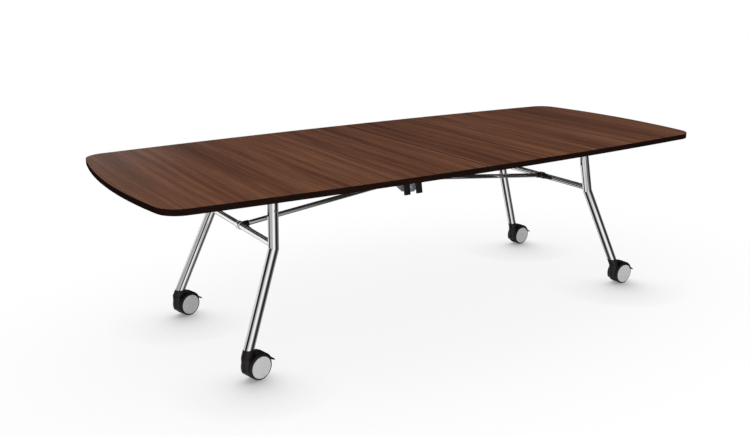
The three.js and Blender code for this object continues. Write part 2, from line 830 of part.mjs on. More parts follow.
// Brake lever: a pedal behind the wheels with a toe tab, on an arm between the wheels
const pedalInner = wheelRadius + brakePedalGap;
const pedalOuter = pedalInner + brakePedalThickness;
const pedalFrom = brakePedalFromAngle * degrees;
const pedalTo = (hoodFromAngle - brakePedalEndGap) * degrees;
const onRim = (radius, angle) => new THREE.Vector2(
  castorTrail + radius * Math.cos(angle),
  wheelRadius + radius * Math.sin(angle),
);

function brakeLever() {
  const tabTip = pedalFrom - brakeTabDrop * degrees;
  const pedalMiddle = pedalInner + brakePedalThickness / 2;
  const pedalHalf = wheelOuterY - brakePedalInset;
  const pedal = new THREE.Shape();
  pedal.absarc(castorTrail, wheelRadius, pedalOuter, pedalFrom, pedalTo, false);
  pedal.absarc(castorTrail, wheelRadius, pedalInner, pedalTo, pedalFrom, true);
  const tab = new THREE.Shape([
    onRim(pedalMiddle, pedalFrom),
    onRim(pedalOuter + brakeTabReach, tabTip),
    onRim(pedalOuter + brakeTabReach, tabTip + brakeTabTip * degrees),
    onRim(pedalMiddle, pedalFrom + brakeTabRoot * degrees),
  ]);
  return join(
    sidePlate(pedal, -pedalHalf, pedalHalf, pedalSteps),
    sidePlate(tab, -pedalHalf, pedalHalf),
  );
}

// The arm has a hub on its own pin, and its outer edge seats in the pedal
function brakeArm() {
  const seat = [0, 1, 2, 3].map((step) => (
    onRim(pedalInner - seatGap, pedalFrom + (pedalTo - pedalFrom) / 2 * step / 3)
  ));
  const arm = new THREE.Shape([
    new THREE.Vector2(brakePivotX - brakeHubRadius / 2, brakePivotZ),
    ...seat,
  ]);
  const armHalf = brakeArmThickness / 2;
  const pinReach = webHalf - brakePinEndGap;
  return join(
    sidePlate(arm, -armHalf, armHalf),
    barAlongY(brakePivotX, brakePivotZ, -armHalf, armHalf, brakeHubRadius, pinSides),
    barAlongY(brakePivotX, brakePivotZ, -pinReach, pinReach, brakePinDiameter / 2, pinSides),
  );
}

// Each half is drawn for the right and turned half round for the left
for (const [name, turn] of [['right', 0], ['left', Math.PI]]) {
  const half = new THREE.Group();
  half.rotation.z = turn;
  table.add(half);
  addPiece(half, `top_panel_${name}`, topPanel(), 'walnut');
  addPiece(half, `hinge_leaf_${name}`, hingeLeaf(), 'steel');
  addPiece(half, `leg_mount_rail_${name}`, legMountRail(), 'steel');
  addPiece(half, `cross_tube_${name}`, crossTube(), 'chrome');
  addPiece(half, `tie_bar_${name}`, tieBar(), 'chrome');
  addPiece(half, `tie_collar_${name}`, tieCollar(), 'blackPlastic');
  for (const side of [-1, 1]) {
    const facing = side * Math.cos(turn) < 0 ? 'front' : 'rear';
    addPiece(half, `leg_${facing}_${name}`, leg(side), 'chrome');
    addPiece(half, `leg_pin_${facing}_${name}`, legPin(side), 'steel');
    addPiece(half, `foot_socket_${facing}_${name}`, footSocket(side), 'blackPlastic');
  }
}

// Folding centre
addPiece(table, 'hinge_beam', hingeBeam(), 'steel');
addPiece(table, 'tie_yoke', tieYoke(), 'steel');
for (const [name, side] of [['right', 1], ['left', -1]]) {
  addPiece(table, `hinge_rod_${name}`, hingeRod(side), 'steel');
  addPiece(table, `tie_pin_${name}`, tiePin(side), 'steel');
}
addPiece(table, 'release_handle', releaseHandle(), 'blackPlastic');
addPiece(table, 'latch_bar', latchBar(), 'steel');

// Castors, each turned a little on its swivel as in the photograph
for (const [xName, xSide] of [['right', 1], ['left', -1]]) {
  for (const [yName, ySide] of [['front', -1], ['rear', 1]]) {
    const castor = new THREE.Group();
    const place = `${yName}_${xName}`;
    castor.position.set(xSide * swivelPlace.x, ySide * swivelPlace.y, 0);
    castor.rotation.z = castorTurns[place] * degrees;
    table.add(castor);
    addPiece(castor, `castor_body_${place}`, castorBody(), 'blackPlastic');
    addPiece(castor, `brake_lever_${place}`, brakeLever(), 'blackPlastic');
    addPiece(castor, `brake_arm_${place}`, brakeArm(), 'blackPlastic');
    for (const [wheelName, turn] of [['far', 0], ['near', Math.PI]]) {
      const hung = new THREE.Group();
      hung.position.set(castorTrail, 0, wheelRadius);
      hung.rotation.z = turn;
      castor.add(hung);
      addPiece(hung, `wheel_${place}_${wheelName}`, wheel(), 'blackTyre');
      addPiece(hung, `wheel_cover_${place}_${wheelName}`, wheelCover(), 'silver');
    }
  }
}

export default table;
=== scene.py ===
import json
import math
import bmesh
import bpy
from mathutils import Matrix, Vector


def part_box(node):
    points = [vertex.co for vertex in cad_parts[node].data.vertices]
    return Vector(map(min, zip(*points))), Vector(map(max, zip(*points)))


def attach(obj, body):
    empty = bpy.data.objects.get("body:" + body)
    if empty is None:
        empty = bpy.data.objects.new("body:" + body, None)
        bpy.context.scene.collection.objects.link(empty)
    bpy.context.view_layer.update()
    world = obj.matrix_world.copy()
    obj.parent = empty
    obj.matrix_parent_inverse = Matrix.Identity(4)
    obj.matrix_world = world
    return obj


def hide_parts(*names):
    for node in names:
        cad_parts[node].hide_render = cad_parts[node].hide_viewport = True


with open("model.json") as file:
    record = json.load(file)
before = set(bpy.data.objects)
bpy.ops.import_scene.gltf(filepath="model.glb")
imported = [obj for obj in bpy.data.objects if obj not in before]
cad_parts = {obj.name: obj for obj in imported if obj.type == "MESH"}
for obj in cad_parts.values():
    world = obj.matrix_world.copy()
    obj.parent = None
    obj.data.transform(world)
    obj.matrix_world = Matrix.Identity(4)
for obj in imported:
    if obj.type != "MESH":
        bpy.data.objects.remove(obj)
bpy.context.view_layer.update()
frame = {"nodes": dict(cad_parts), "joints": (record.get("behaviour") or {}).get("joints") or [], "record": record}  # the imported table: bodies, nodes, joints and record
print("frame loaded:", len(frame["nodes"]), "nodes")

mm = 0.001
scene = bpy.context.scene
jointPlace = {joint["name"]: Vector(joint["pos_m"]) for joint in frame["joints"]}
jointAxis = {joint["name"]: Vector(joint["axis"]) for joint in frame["joints"]}
groups = frame["record"]["behaviour"]["bodies"]
bodyOf = {node: body for body, members in groups.items() for node in members}
halves = {"right": 1, "left": -1}
ends = ("front", "rear")
boltFit = 0.3 * mm  # clearance round pins, axles and rods
weldDistance = 0.001 * mm


# Small mesh tools: a solid comes back as a closed bmesh with its faces pointing out

def closeUp(bm):
    bmesh.ops.remove_doubles(bm, verts=bm.verts, dist=weldDistance)
    bmesh.ops.recalc_face_normals(bm, faces=bm.faces)
    return bm


def arcPoints(centreU, centreV, radius, start, end, steps):
    points = []
    for i in range(steps + 1):
        angle = start + (end - start) * i / steps
        points.append((centreU + radius * math.cos(angle), centreV + radius * math.sin(angle)))
    return points


def quarterTurn(steps):
    return [math.pi / 2 * i / steps for i in range(steps + 1)]


def addWalls(bm, rings):
    # quads between neighbouring rings of the same count
    count = len(rings[0])
    for low, high in zip(rings, rings[1:]):
        for i in range(count):
            j = (i + 1) % count
            bm.faces.new((low[i], low[j], high[j], high[i]))


def addSkin(bm, rings):
    addWalls(bm, rings)
    bm.faces.new(rings[0])
    bm.faces.new(rings[-1])
    return closeUp(bm)


def roundedOutline(corners, steps=5):
    # each corner is (u, v, radius); a radius of 0 keeps it sharp
    points = []
    count = len(corners)
    for i, (u, v, radius) in enumerate(corners):
        here = Vector((u, v))
        if radius <= 0:
            points.append((u, v))
            continue
        back = (Vector(corners[i - 1][:2]) - here).normalized()
        ahead = (Vector(corners[(i + 1) % count][:2]) - here).normalized()
        half = back.angle(ahead) / 2
        centre = here + (back + ahead).normalized() * (radius / math.sin(half))
        first = here + back * (radius / math.tan(half)) - centre
        last = here + ahead * (radius / math.tan(half)) - centre
        turn = math.atan2(first.x * last.y - first.y * last.x, first.dot(last))
        start = math.atan2(first.y, first.x)
        points += arcPoints(centre.x, centre.y, radius, start, start + turn, steps)
    return points


def rectangle(u0, u1, v0, v1, radius=0.0):
    return roundedOutline([(u0, v0, radius), (u1, v0, radius), (u1, v1, radius), (u0, v1, radius)])


def insetOutline(outline, distance):
    # moves every point of a counter-clockwise outline inwards
    moved = []
    count = len(outline)
    for i in range(count):
        before, here, after = (Vector(outline[(i + k) % count]) for k in (-1, 0, 1))
        along0 = (here - before).normalized()
        along1 = (after - here).normalized()
        in0 = Vector((-along0.y, along0.x))
        in1 = Vector((-along1.y, along1.x))
        moved.append(here + (in0 + in1) * (distance / (1 + in0.dot(in1))))
    return moved


def flat(u, v, w):
    return Vector((u, v, w))  # outline in X and Y, thickness in Z


def upright(u, v, w):
    return Vector((u, w, v))  # outline in X and Z, thickness in Y


def endOn(u, v, w):
    return Vector((w, u, v))  # outline in Y and Z, thickness in X


def slab(outline, place, low, high, easing=0.0, steps=3):
    # plate between two levels, its rims eased to a quarter round
    levels = [(low, 0.0), (high, 0.0)]
    if easing > 0:
        rim = [(easing * (1 - math.cos(a)), easing * (1 - math.sin(a))) for a in quarterTurn(steps)]
        levels = [(low + rise, inset) for rise, inset in rim]
        levels += [(high - rise, inset) for rise, inset in reversed(rim)]
    bm = bmesh.new()
    rings = []
    for level, inset in levels:
        points = insetOutline(outline, inset) if inset > weldDistance else outline
        rings.append([bm.verts.new(place(point[0], point[1], level)) for point in points])
    return addSkin(bm, rings)


def blockSolid(x0, x1, y0, y1, z0, z1, easing=0.0):
    return slab(rectangle(x0, x1, y0, y1, easing), flat, z0, z1, easing)


def turned(profile, origin, axis, sides=48, closed=False):
    # profile is (radius, distance along the axis), from end to end or closed on itself
    bm = bmesh.new()
    axis = Vector(axis).normalized()
    across = axis.orthogonal().normalized()
    beside = axis.cross(across)
    rings = []
    for radius, along in profile:
        centre = Vector(origin) + axis * along
        if radius < weldDistance:
            rings.append([bm.verts.new(centre)])
            continue
        circle = arcPoints(0, 0, radius, 0, 2 * math.pi, sides)[:-1]
        rings.append([bm.verts.new(centre + across * u + beside * v) for u, v in circle])
    pairs = list(zip(rings, rings[1:]))
    if closed:
        pairs.append((rings[-1], rings[0]))
    for low, high in pairs:
        for i in range(sides):
            j = (i + 1) % sides
            loop = [low[i % len(low)], low[j % len(low)], high[j % len(high)], high[i % len(high)]]
            loop = list(dict.fromkeys(loop))
            if len(loop) > 2:
                bm.faces.new(loop)
    if not closed:
        for ring in (rings[0], rings[-1]):
            if len(ring) > 2:
                bm.faces.new(ring)
    return closeUp(bm)


def roundBar(start, end, radius, easing=0.0, sides=48, endRadius=None, steps=3):
    run = Vector(end) - Vector(start)
    length = run.length
    last = radius if endRadius is None else endRadius
    if easing <= 0:
        return turned([(radius, 0), (last, length)], start, run, sides)
    rim = [(easing * (1 - math.sin(a)), easing * (1 - math.cos(a))) for a in quarterTurn(steps)]
    profile = [(radius - inset, rise) for inset, rise in rim]
    profile += [(last - inset, length - rise) for inset, rise in reversed(rim)]
    return turned(profile, start, run, sides)


def barY(x, z, y0, y1, radius, easing=0.0, sides=48):
    return roundBar((x, y0, z), (x, y1, z), radius, easing, sides)


def mitredBar(points, radius, sides=64):
    # round bar along straight runs: mitred at its bends and cut level at its ends
    points = [Vector(point) for point in points]
    runs = [(b - a).normalized() for a, b in zip(points, points[1:])]
    across = runs[0].cross(Vector((0, 1, 0))).normalized()
    beside = runs[0].cross(across)
    ring = [points[0] + across * u + beside * v
            for u, v in arcPoints(0, 0, radius, 0, 2 * math.pi, sides)[:-1]]
    cutNormals = [Vector((0, 0, 1))]
    cutNormals += [(a + b).normalized() for a, b in zip(runs, runs[1:])]
    cutNormals.append(Vector((0, 0, 1)))
    bm = bmesh.new()
    rings = []
    for i, (point, normal) in enumerate(zip(points, cutNormals)):
        run = runs[max(i - 1, 0)]
        ring = [corner + run * ((point - corner).dot(normal) / run.dot(normal)) for corner in ring]
        rings.append([bm.verts.new(corner) for corner in ring])
    return addSkin(bm, rings)


def boolean(operation, first, others):
    made = []
    for bm in [first, *others]:
        made.append(bpy.data.objects.new("solid", meshOf(bm, "solid")))
        scene.collection.objects.link(made[-1])
    base = made[0]
    for tool in made[1:]:
        step = base.modifiers.new("step", "BOOLEAN")
        step.operation = operation
        step.solver = "MANIFOLD"
        step.object = tool
    graph = bpy.context.evaluated_depsgraph_get()
    result = bpy.data.meshes.new_from_object(base.evaluated_get(graph))
    bm = bmesh.new()
    bm.from_mesh(result)
    bpy.data.meshes.remove(result)
    for obj in made:
        mesh = obj.data
        bpy.data.objects.remove(obj)
        bpy.data.meshes.remove(mesh)
    return bm


def join(first, *others):
    return boolean("UNION", first, others)


def cut(first, *tools):
    return boolean("DIFFERENCE", first, tools)


def toHalf(bm, name):
    # the left half is the right one turned half round
    if name == "left":
        bmesh.ops.transform(bm, verts=bm.verts, matrix=Matrix.Rotation(math.pi, 4, "Z"))
    return bm


def meshOf(bm, name):
    mesh = bpy.data.meshes.new(name)
    bm.to_mesh(mesh)
    bm.free()
    return mesh


def fitPiece(name, bm, finishes, slotName, nodes, body=None, sharpAngle=28):
    fitMesh(name, meshOf(bm, name), finishes, slotName, nodes, body, sharpAngle)


def fitMesh(name, mesh, finishes, slotName, nodes, body=None, sharpAngle=28):
    for polygon in mesh.polygons:
        polygon.use_smooth = True
    mesh.set_sharp_from_angle(angle=math.radians(sharpAngle))
    if not mesh.materials:
        for finish in finishes:
            mesh.materials.append(finish)
    piece = bpy.data.objects.new(name, mesh)
    scene.collection.objects.link(piece)
    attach(piece, body or bodyOf[nodes[0]])
    if nodes:
        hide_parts(*nodes)


# Camera at the photograph's place
cameraSet = {
    "sensor": 36,  # mm, as the lens
    "lens": 40.493,
    "place": (-2.0722, -2.9938, 1.4456),
    "tilt": 0.2827,  # radians below the horizon
    "turn": -0.5653,
}


def makeCamera():
    data = bpy.data.cameras.new("photoCamera")
    data.sensor_fit = "HORIZONTAL"
    data.sensor_width = cameraSet["sensor"]
    data.lens = cameraSet["lens"]
    camera = bpy.data.objects.new("photoCamera", data)
    camera.location = cameraSet["place"]
    camera.rotation_euler = (math.pi / 2 - cameraSet["tilt"], 0, cameraSet["turn"])
    scene.collection.objects.link(camera)
    scene.camera = camera


# Node shorthand for materials and the world
class NodeDesk:
    def __init__(self, tree):
        self.tree = tree

    def add(self, kind, **values):
        node = self.tree.nodes.new(kind)
        for name, value in values.items():
            setattr(node, name, value)
        return node

    def feed(self, socket, value):
        if isinstance(value, bpy.types.NodeSocket):
            self.tree.links.new(value, socket)
        else:
            socket.default_value = value

    def math(self, operation, first, second=0.0):
        node = self.add("ShaderNodeMath", operation=operation)
        self.feed(node.inputs[0], first)
        self.feed(node.inputs[1], second)
        return node.outputs[0]

    def vector(self, operation, first, second):
        node = self.add("ShaderNodeVectorMath", operation=operation)
        self.feed(node.inputs[0], first)
        self.feed(node.inputs[1], second)
        return node.outputs["Value" if operation in ("DOT_PRODUCT", "LENGTH") else "Vector"]

    def between(self, value, low, high, toLow=0.0, toHigh=1.0):
        node = self.add("ShaderNodeMapRange", interpolation_type="SMOOTHSTEP")
        self.feed(node.inputs["Value"], value)
        for name, number in (("From Min", low), ("From Max", high), ("To Min", toLow), ("To Max", toHigh)):
            node.inputs[name].default_value = number
        return node.outputs["Result"]

    def objectPoint(self):
        return self.add("ShaderNodeTexCoord").outputs["Object"]

    def stretched(self, point, scale, shift=(0, 0, 0)):
        node = self.add("ShaderNodeMapping")
        node.inputs["Scale"].default_value = scale
        node.inputs["Location"].default_value = shift
        self.feed(node.inputs["Vector"], point)
        return node.outputs["Vector"]

    def noise(self, point, scale=1.0, detail=2.0, roughness=0.5):
        node = self.add("ShaderNodeTexNoise")
        node.inputs["Scale"].default_value = scale
        node.inputs["Detail"].default_value = detail
        node.inputs["Roughness"].default_value = roughness
        self.feed(node.inputs["Vector"], point)
        return node.outputs["Fac"]

    def ramp(self, value, stops):
        node = self.add("ShaderNodeValToRGB")
        elements = node.color_ramp.elements
        elements[0].position, elements[0].color = stops[0][0], (*stops[0][1], 1)
        elements[1].position, elements[1].color = stops[-1][0], (*stops[-1][1], 1)
        for place, colour in stops[1:-1]:
            elements.new(place).color = (*colour, 1)
        self.feed(node.inputs["Fac"], value)
        return node.outputs["Color"]

    def mix(self, amount, first, second):
        node = self.add("ShaderNodeMix", data_type="RGBA")
        self.feed(node.inputs[0], amount)
        self.feed(node.inputs[6], first)  # sockets A and B for colours, after those for other kinds
        self.feed(node.inputs[7], second)
        return node.outputs[2]

    def blended(self, first, second, share):
        return self.math("ADD", self.math("MULTIPLY", first, 1 - share), self.math("MULTIPLY", second, share))

    def bump(self, height, depth, strength=1.0):
        node = self.add("ShaderNodeBump")
        node.inputs["Strength"].default_value = strength
        node.inputs["Distance"].default_value = depth
        self.feed(node.inputs["Height"], height)
        return node.outputs["Normal"]


# Studio: white for the eye, even light for the surfaces, a banded room for the chrome
studio = {
    "front": (-0.535, -0.845, 0.0),  # from the table towards the camera
    "right": (0.845, -0.535, 0.0),
    # room seen by the chrome: azimuth from the front in degrees, positive to the right, and brightness
    "bands": ((-180, 0.06), (-155, 0.05), (-106, 0.03), (-78, 0.03), (-68, 0.38), (-46, 0.46), (-8, 0.50),
              (0, 0.95), (32, 1.0), (44, 0.32), (57, 0.10), (63, 0.02), (104, 0.02), (112, 0.20), (150, 0.30),
              (160, 0.06), (180, 0.06)),
    # low patches of the room: azimuth from and to, elevation from and to, brightness
    "patches": ((-76, -30, 9, 27, 0.02), (-23, 8, -22, -11, 0.02), (-94, -24, -51, -39, 0.03),
                (-68, -4, -66, -51, 0.03), (-72, -22, -20, -10, 0.75), (38, 68, -46, -25, 0.45),
                (14, 46, -11, -2, 0.16)),
    # white walls over the dim back: at the left, and a low window behind the left end
    "walls": ((-150, -112, -44, 11, 0.95), (-108, -79, 3, 13, 0.8), (-164, -148, 2, 18, 0.8)),
    "patchSoftness": 2.0,
    "behind": (95, 120),  # azimuths of the soft edge of the dim back, to both sides
    "horizon": (-0.06, 0.08),  # heights of its lower edge
    "backLight": 0.05,
    "ceiling": (25, 32, 0.04),  # dark from here up: elevations of its soft edge, brightness
    "ambient": 0.72,
    "lampPower": 26,
    "lampSize": (4.4, 3.2),
    "lampPlace": (0.3, 0.6, 3.5),
    "fillPower": 24,
    "fillSize": (3.0, 0.6),
    "fillPlace": (-1.7, -3.7, 0.4),
    "fillAim": (-0.2, 0.0, 0.2),
}


def grey(tone):
    return (tone, tone, tone, 1)


def makeWorld():
    world = bpy.data.worlds.new("studio")
    scene.world = world
    world.use_nodes = True
    world.node_tree.nodes.clear()
    world.cycles.sampling_method = "NONE"
    desk = NodeDesk(world.node_tree)
    direction = desk.add("ShaderNodeTexCoord").outputs["Generated"]
    height = desk.vector("DOT_PRODUCT", direction, (0, 0, 1))
    ahead = desk.vector("DOT_PRODUCT", direction, studio["front"])
    aside = desk.vector("DOT_PRODUCT", direction, studio["right"])
    azimuth = desk.math("ARCTAN2", aside, ahead)
    elevation = desk.math("ARCSINE", height)

    turn = desk.math("ADD", desk.math("MULTIPLY", azimuth, 0.5 / math.pi), 0.5)
    room = desk.ramp(turn, [((place + 180) / 360, (tone,) * 3) for place, tone in studio["bands"]])
    soft = studio["patchSoftness"]

    def within(value, low, high):
        rise = desk.between(value, math.radians(low - soft), math.radians(low + soft))
        fall = desk.between(value, math.radians(high - soft), math.radians(high + soft), 1.0, 0.0)
        return desk.math("MULTIPLY", rise, fall)

    def addPatches(colour, patches):
        for azLow, azHigh, elLow, elHigh, tone in patches:
            share = desk.math("MULTIPLY", within(azimuth, azLow, azHigh), within(elevation, elLow, elHigh))
            colour = desk.mix(share, colour, grey(tone))
        return colour

    room = addPatches(room, studio["patches"])

    # the room behind the table is dim above the horizon, so that the satin top keeps its colour
    behind = desk.between(desk.math("ABSOLUTE", azimuth), *(math.radians(edge) for edge in studio["behind"]))
    dim = desk.math("MULTIPLY", behind, desk.between(height, *studio["horizon"]))
    room = desk.mix(dim, room, grey(studio["backLight"]))
    room = addPatches(room, studio["walls"])
    edgeLow, edgeHigh, tone = studio["ceiling"]
    above = desk.between(elevation, math.radians(edgeLow), math.radians(edgeHigh))
    room = desk.mix(above, room, grey(tone))

    rays = desk.add("ShaderNodeLightPath")
    light = desk.mix(rays.outputs["Is Glossy Ray"], grey(studio["ambient"]), room)
    colour = desk.mix(rays.outputs["Is Camera Ray"], light, grey(1))
    background = desk.add("ShaderNodeBackground")
    desk.feed(background.inputs["Color"], colour)
    output = desk.add("ShaderNodeOutputWorld")
    desk.feed(output.inputs["Surface"], background.outputs["Background"])


def makeLamp(name, power, size, place, aim):
    data = bpy.data.lights.new(name, "AREA")
    data.shape = "RECTANGLE"
    data.size, data.size_y = size
    data.energy = power
    lamp = bpy.data.objects.new(name, data)
    lamp.location = place
    lamp.rotation_euler = (Vector(aim) - Vector(place)).to_track_quat("-Z", "Y").to_euler()
    lamp.visible_camera = False
    lamp.visible_glossy = False
    scene.collection.objects.link(lamp)


floorSet = {
    "half": 9.0,
    "drop": 0.2 * mm,
    "shade": 0.92,
    "roughness": 0.28,
    "whiten": 0.88,  # how far the eye sees the lit floor lifted to white near the table
    "squash": (0.62, 1.0, 0),  # the white-out is an ellipse along the table
    "fadeFrom": 0.55,
    "fadeTo": 1.5,
    "paintedShadeReach": 0.30,  # painted shade and painted reflection: occlusion darkens the white seen by the eye before whatever stands on it, as a soft shadow and blurred reflection on a polished floor
    "paintedShadeSamples": 12,
    "paintedShadeLean": (0.43, 0.68, 0.60),
    "paintedShadeStops": ((0.30, 0.30), (0.80, 0.78), (1.0, 1.0)),
}


def makeFloor():
    half = floorSet["half"]
    mesh = bpy.data.meshes.new("floor")
    corners = [(-half, -half), (half, -half), (half, half), (-half, half)]
    mesh.from_pydata([(x, y, -floorSet["drop"]) for x, y in corners], [], [(0, 1, 2, 3)])
    material = bpy.data.materials.new("paleFloor")
    material.use_nodes = True
    desk = NodeDesk(material.node_tree)
    lit = material.node_tree.nodes["Principled BSDF"]
    lit.inputs["Base Color"].default_value = grey(floorSet["shade"])
    lit.inputs["Roughness"].default_value = floorSet["roughness"]
    flatPoint = desk.vector("MULTIPLY", desk.objectPoint(), floorSet["squash"])
    reach = desk.vector("LENGTH", flatPoint, (0, 0, 0))
    fade = desk.between(reach, floorSet["fadeFrom"], floorSet["fadeTo"], floorSet["whiten"], 1.0)
    rays = desk.add("ShaderNodeLightPath")
    white = desk.add("ShaderNodeEmission")
    # painted shade and painted reflection: occlusion round a normal leaned towards the back darkens the white
    # that the eye sees in front of the castors and legs
    contact = desk.add("ShaderNodeAmbientOcclusion", samples=floorSet["paintedShadeSamples"])
    contact.inputs["Distance"].default_value = floorSet["paintedShadeReach"]
    lean = desk.add("ShaderNodeCombineXYZ")
    for axis, number in zip("XYZ", floorSet["paintedShadeLean"]):
        lean.inputs[axis].default_value = number
    desk.feed(contact.inputs["Normal"], lean.outputs["Vector"])
    stops = [(place, (tone,) * 3) for place, tone in floorSet["paintedShadeStops"]]
    desk.feed(white.inputs["Color"], desk.ramp(contact.outputs["AO"], stops))
    seen = desk.add("ShaderNodeMixShader")
    desk.feed(seen.inputs[0], desk.math("MULTIPLY", rays.outputs["Is Camera Ray"], fade))
    desk.feed(seen.inputs[1], lit.outputs["BSDF"])
    desk.feed(seen.inputs[2], white.outputs["Emission"])
    clear = desk.add("ShaderNodeBsdfTransparent")
    mirrored = desk.add("ShaderNodeMixShader")  # metal, and the eye from below, see through the floor
    below = desk.add("ShaderNodeNewGeometry").outputs["Backfacing"]
    desk.feed(mirrored.inputs[0], desk.math("MAXIMUM", rays.outputs["Is Glossy Ray"], below))
    desk.feed(mirrored.inputs[1], seen.outputs["Shader"])
    desk.feed(mirrored.inputs[2], clear.outputs["BSDF"])
    desk.feed(material.node_tree.nodes["Material Output"].inputs["Surface"], mirrored.outputs["Shader"])
    mesh.materials.append(material)
    floor = bpy.data.objects.new("floor", mesh)
    scene.collection.objects.link(floor)


scene.view_settings.view_transform = "Standard"
makeCamera()
makeWorld()
makeLamp("overheadSoftbox", studio["lampPower"], studio["lampSize"], studio["lampPlace"],
         (*studio["lampPlace"][:2], 0))
makeLamp("frontFill", studio["fillPower"], studio["fillSize"], studio["fillPlace"], studio["fillAim"])
makeFloor()
print("studio set")


# Finishes: the patterns sit on object coordinates, in metres

def newFinish(name, roughness, metallic=0.0):
    material = bpy.data.materials.new(name)
    material.use_nodes = True
    shader = material.node_tree.nodes["Principled BSDF"]
    shader.inputs["Roughness"].default_value = roughness
    shader.inputs["Metallic"].default_value = metallic
    return material, NodeDesk(material.node_tree), shader


veneerSet = {
    "dark": (0.0940, 0.0340, 0.0175),
    "middle": (0.1560, 0.0600, 0.0306),
    "pale": (0.2240, 0.0920, 0.0480),
    "toneStops": (0.39, 0.50, 0.61),
    "poreTone": (0.030, 0.011, 0.007, 1),
    "poreEdge": (0.60, 0.74),
    "poreShare": 0.4,
    "swayScale": (2.2, 1.4, 1),
    "bandScale": (6.5, 0.30, 1),
    "bandShift": (3.7, 1.2, 0),
    "streakScale": (38, 0.9, 1),
    "streakShift": (0.4, 2.0, 0),
    "lineScale": (120, 1.6, 1),
    "fibreScale": (420, 9, 1),
    "poreScale": (1100, 26, 1),
    "waver": 0.022,
    "shares": (0.20, 0.42, 0.26, 0.12),  # band, streak, line and fibre in the tone
    "roughness": 0.44,
    "fibreGloss": 0.12,  # how far fibres and pores roughen the lacquer
    "poreGloss": 0.15,
    "specular": 0.08,
    "fibreHeight": 0.25,
    "poreDepth": 0.06 * mm,
    "bumpStrength": 0.5,
}


def makeVeneer():
    material, desk, shader = newFinish("walnutVeneer", veneerSet["roughness"])
    shader.inputs["Specular IOR Level"].default_value = veneerSet["specular"]
    point = desk.objectPoint()
    sway = desk.noise(desk.stretched(point, veneerSet["swayScale"]), 1.0, 1.0)
    drift = desk.math("MULTIPLY", desk.math("SUBTRACT", sway, 0.5), veneerSet["waver"] * 2)
    shift = desk.add("ShaderNodeCombineXYZ")
    desk.feed(shift.inputs["X"], drift)
    wavy = desk.vector("ADD", point, shift.outputs["Vector"])
    layers = [
        desk.noise(desk.stretched(wavy, veneerSet["bandScale"], veneerSet["bandShift"]), 1.0, 1.0),
        desk.noise(desk.stretched(wavy, veneerSet["streakScale"], veneerSet["streakShift"]), 1.0, 3.0, 0.6),
        desk.noise(desk.stretched(wavy, veneerSet["lineScale"]), 1.0, 2.0, 0.6),
        desk.noise(desk.stretched(wavy, veneerSet["fibreScale"]), 1.0, 2.0, 0.6),
    ]
    tone = 0.0
    for layer, share in zip(layers, veneerSet["shares"]):
        tone = desk.math("ADD", desk.math("MULTIPLY", layer, share), tone)
    tones = (veneerSet["dark"], veneerSet["middle"], veneerSet["pale"])
    colour = desk.ramp(tone, list(zip(veneerSet["toneStops"], tones)))
    pore = desk.noise(desk.stretched(wavy, veneerSet["poreScale"]), 1.0, 1.0)
    pits = desk.between(pore, *veneerSet["poreEdge"])
    colour = desk.mix(desk.math("MULTIPLY", pits, veneerSet["poreShare"]), colour, veneerSet["poreTone"])
    desk.feed(shader.inputs["Base Color"], colour)
    fibre = layers[3]
    fibreGloss = veneerSet["fibreGloss"]
    lowest = veneerSet["roughness"] - fibreGloss / 2
    gloss = desk.math("ADD", desk.math("MULTIPLY", fibre, fibreGloss), lowest)
    poreGloss = desk.math("MULTIPLY", pits, veneerSet["poreGloss"])
    desk.feed(shader.inputs["Roughness"], desk.math("ADD", gloss, poreGloss))
    height = desk.math("SUBTRACT", desk.math("MULTIPLY", fibre, veneerSet["fibreHeight"]), pits)
    desk.feed(shader.inputs["Normal"], desk.bump(height, veneerSet["poreDepth"], veneerSet["bumpStrength"]))
    return material


# Edge band tones: the wood's own dark tone, made near-black as painted shade of the undercut rim, which faces
# the floor
edgeSet = {
    "tones": ((0.30, (0.0085, 0.0044, 0.0036)), (0.55, (0.0135, 0.0068, 0.0053)),
              (0.75, (0.0205, 0.0102, 0.0077))),
    "grainScale": (12, 12, 260),
    "grainRange": (0.2, 0.8),
    "roughness": 0.60,
    "spread": 0.06,
    "grainDepth": 0.05 * mm,
    "bumpStrength": 0.4,
}


def makeEdgeBand():
    roughness, spread = edgeSet["roughness"], edgeSet["spread"]
    material, desk, shader = newFinish("walnutEdgePaintedShade", roughness)
    shader.inputs["Specular IOR Level"].default_value = 0.0
    grain = desk.noise(desk.stretched(desk.objectPoint(), edgeSet["grainScale"]), 1.0, 3.0, 0.6)
    desk.feed(shader.inputs["Base Color"], desk.ramp(grain, edgeSet["tones"]))
    gloss = desk.between(grain, *edgeSet["grainRange"], roughness - spread, roughness + spread)
    desk.feed(shader.inputs["Roughness"], gloss)
    desk.feed(shader.inputs["Normal"], desk.bump(grain, edgeSet["grainDepth"], edgeSet["bumpStrength"]))
    return material


backingSet = {
    "tones": ((0.3, (0.030, 0.0165, 0.0120)), (0.7, (0.052, 0.0290, 0.0205))),
    "cloudScale": (14, 3, 14),
    "speckScale": 900,
    "speckShare": 0.3,
    "roughness": 0.6,
    "speckDepth": 0.05 * mm,
    "bumpStrength": 0.5,
}


def makeBacking():
    material, desk, shader = newFinish("backingSheet", backingSet["roughness"])
    point = desk.objectPoint()
    cloud = desk.noise(desk.stretched(point, backingSet["cloudScale"]), 1.0, 4.0, 0.6)
    speck = desk.noise(point, backingSet["speckScale"], 2.0)
    tone = desk.blended(cloud, speck, backingSet["speckShare"])
    desk.feed(shader.inputs["Base Color"], desk.ramp(tone, backingSet["tones"]))
    desk.feed(shader.inputs["Normal"], desk.bump(speck, backingSet["speckDepth"], backingSet["bumpStrength"]))
    return material


metalSet = {
    "cloudScale": 18,
    "markScale": (420, 420, 35),
    "markShare": 0.4,
    "toneStops": (0.3, 0.7),
    "glossRange": (0.25, 0.75),
    "bumpStrength": 0.3,
}


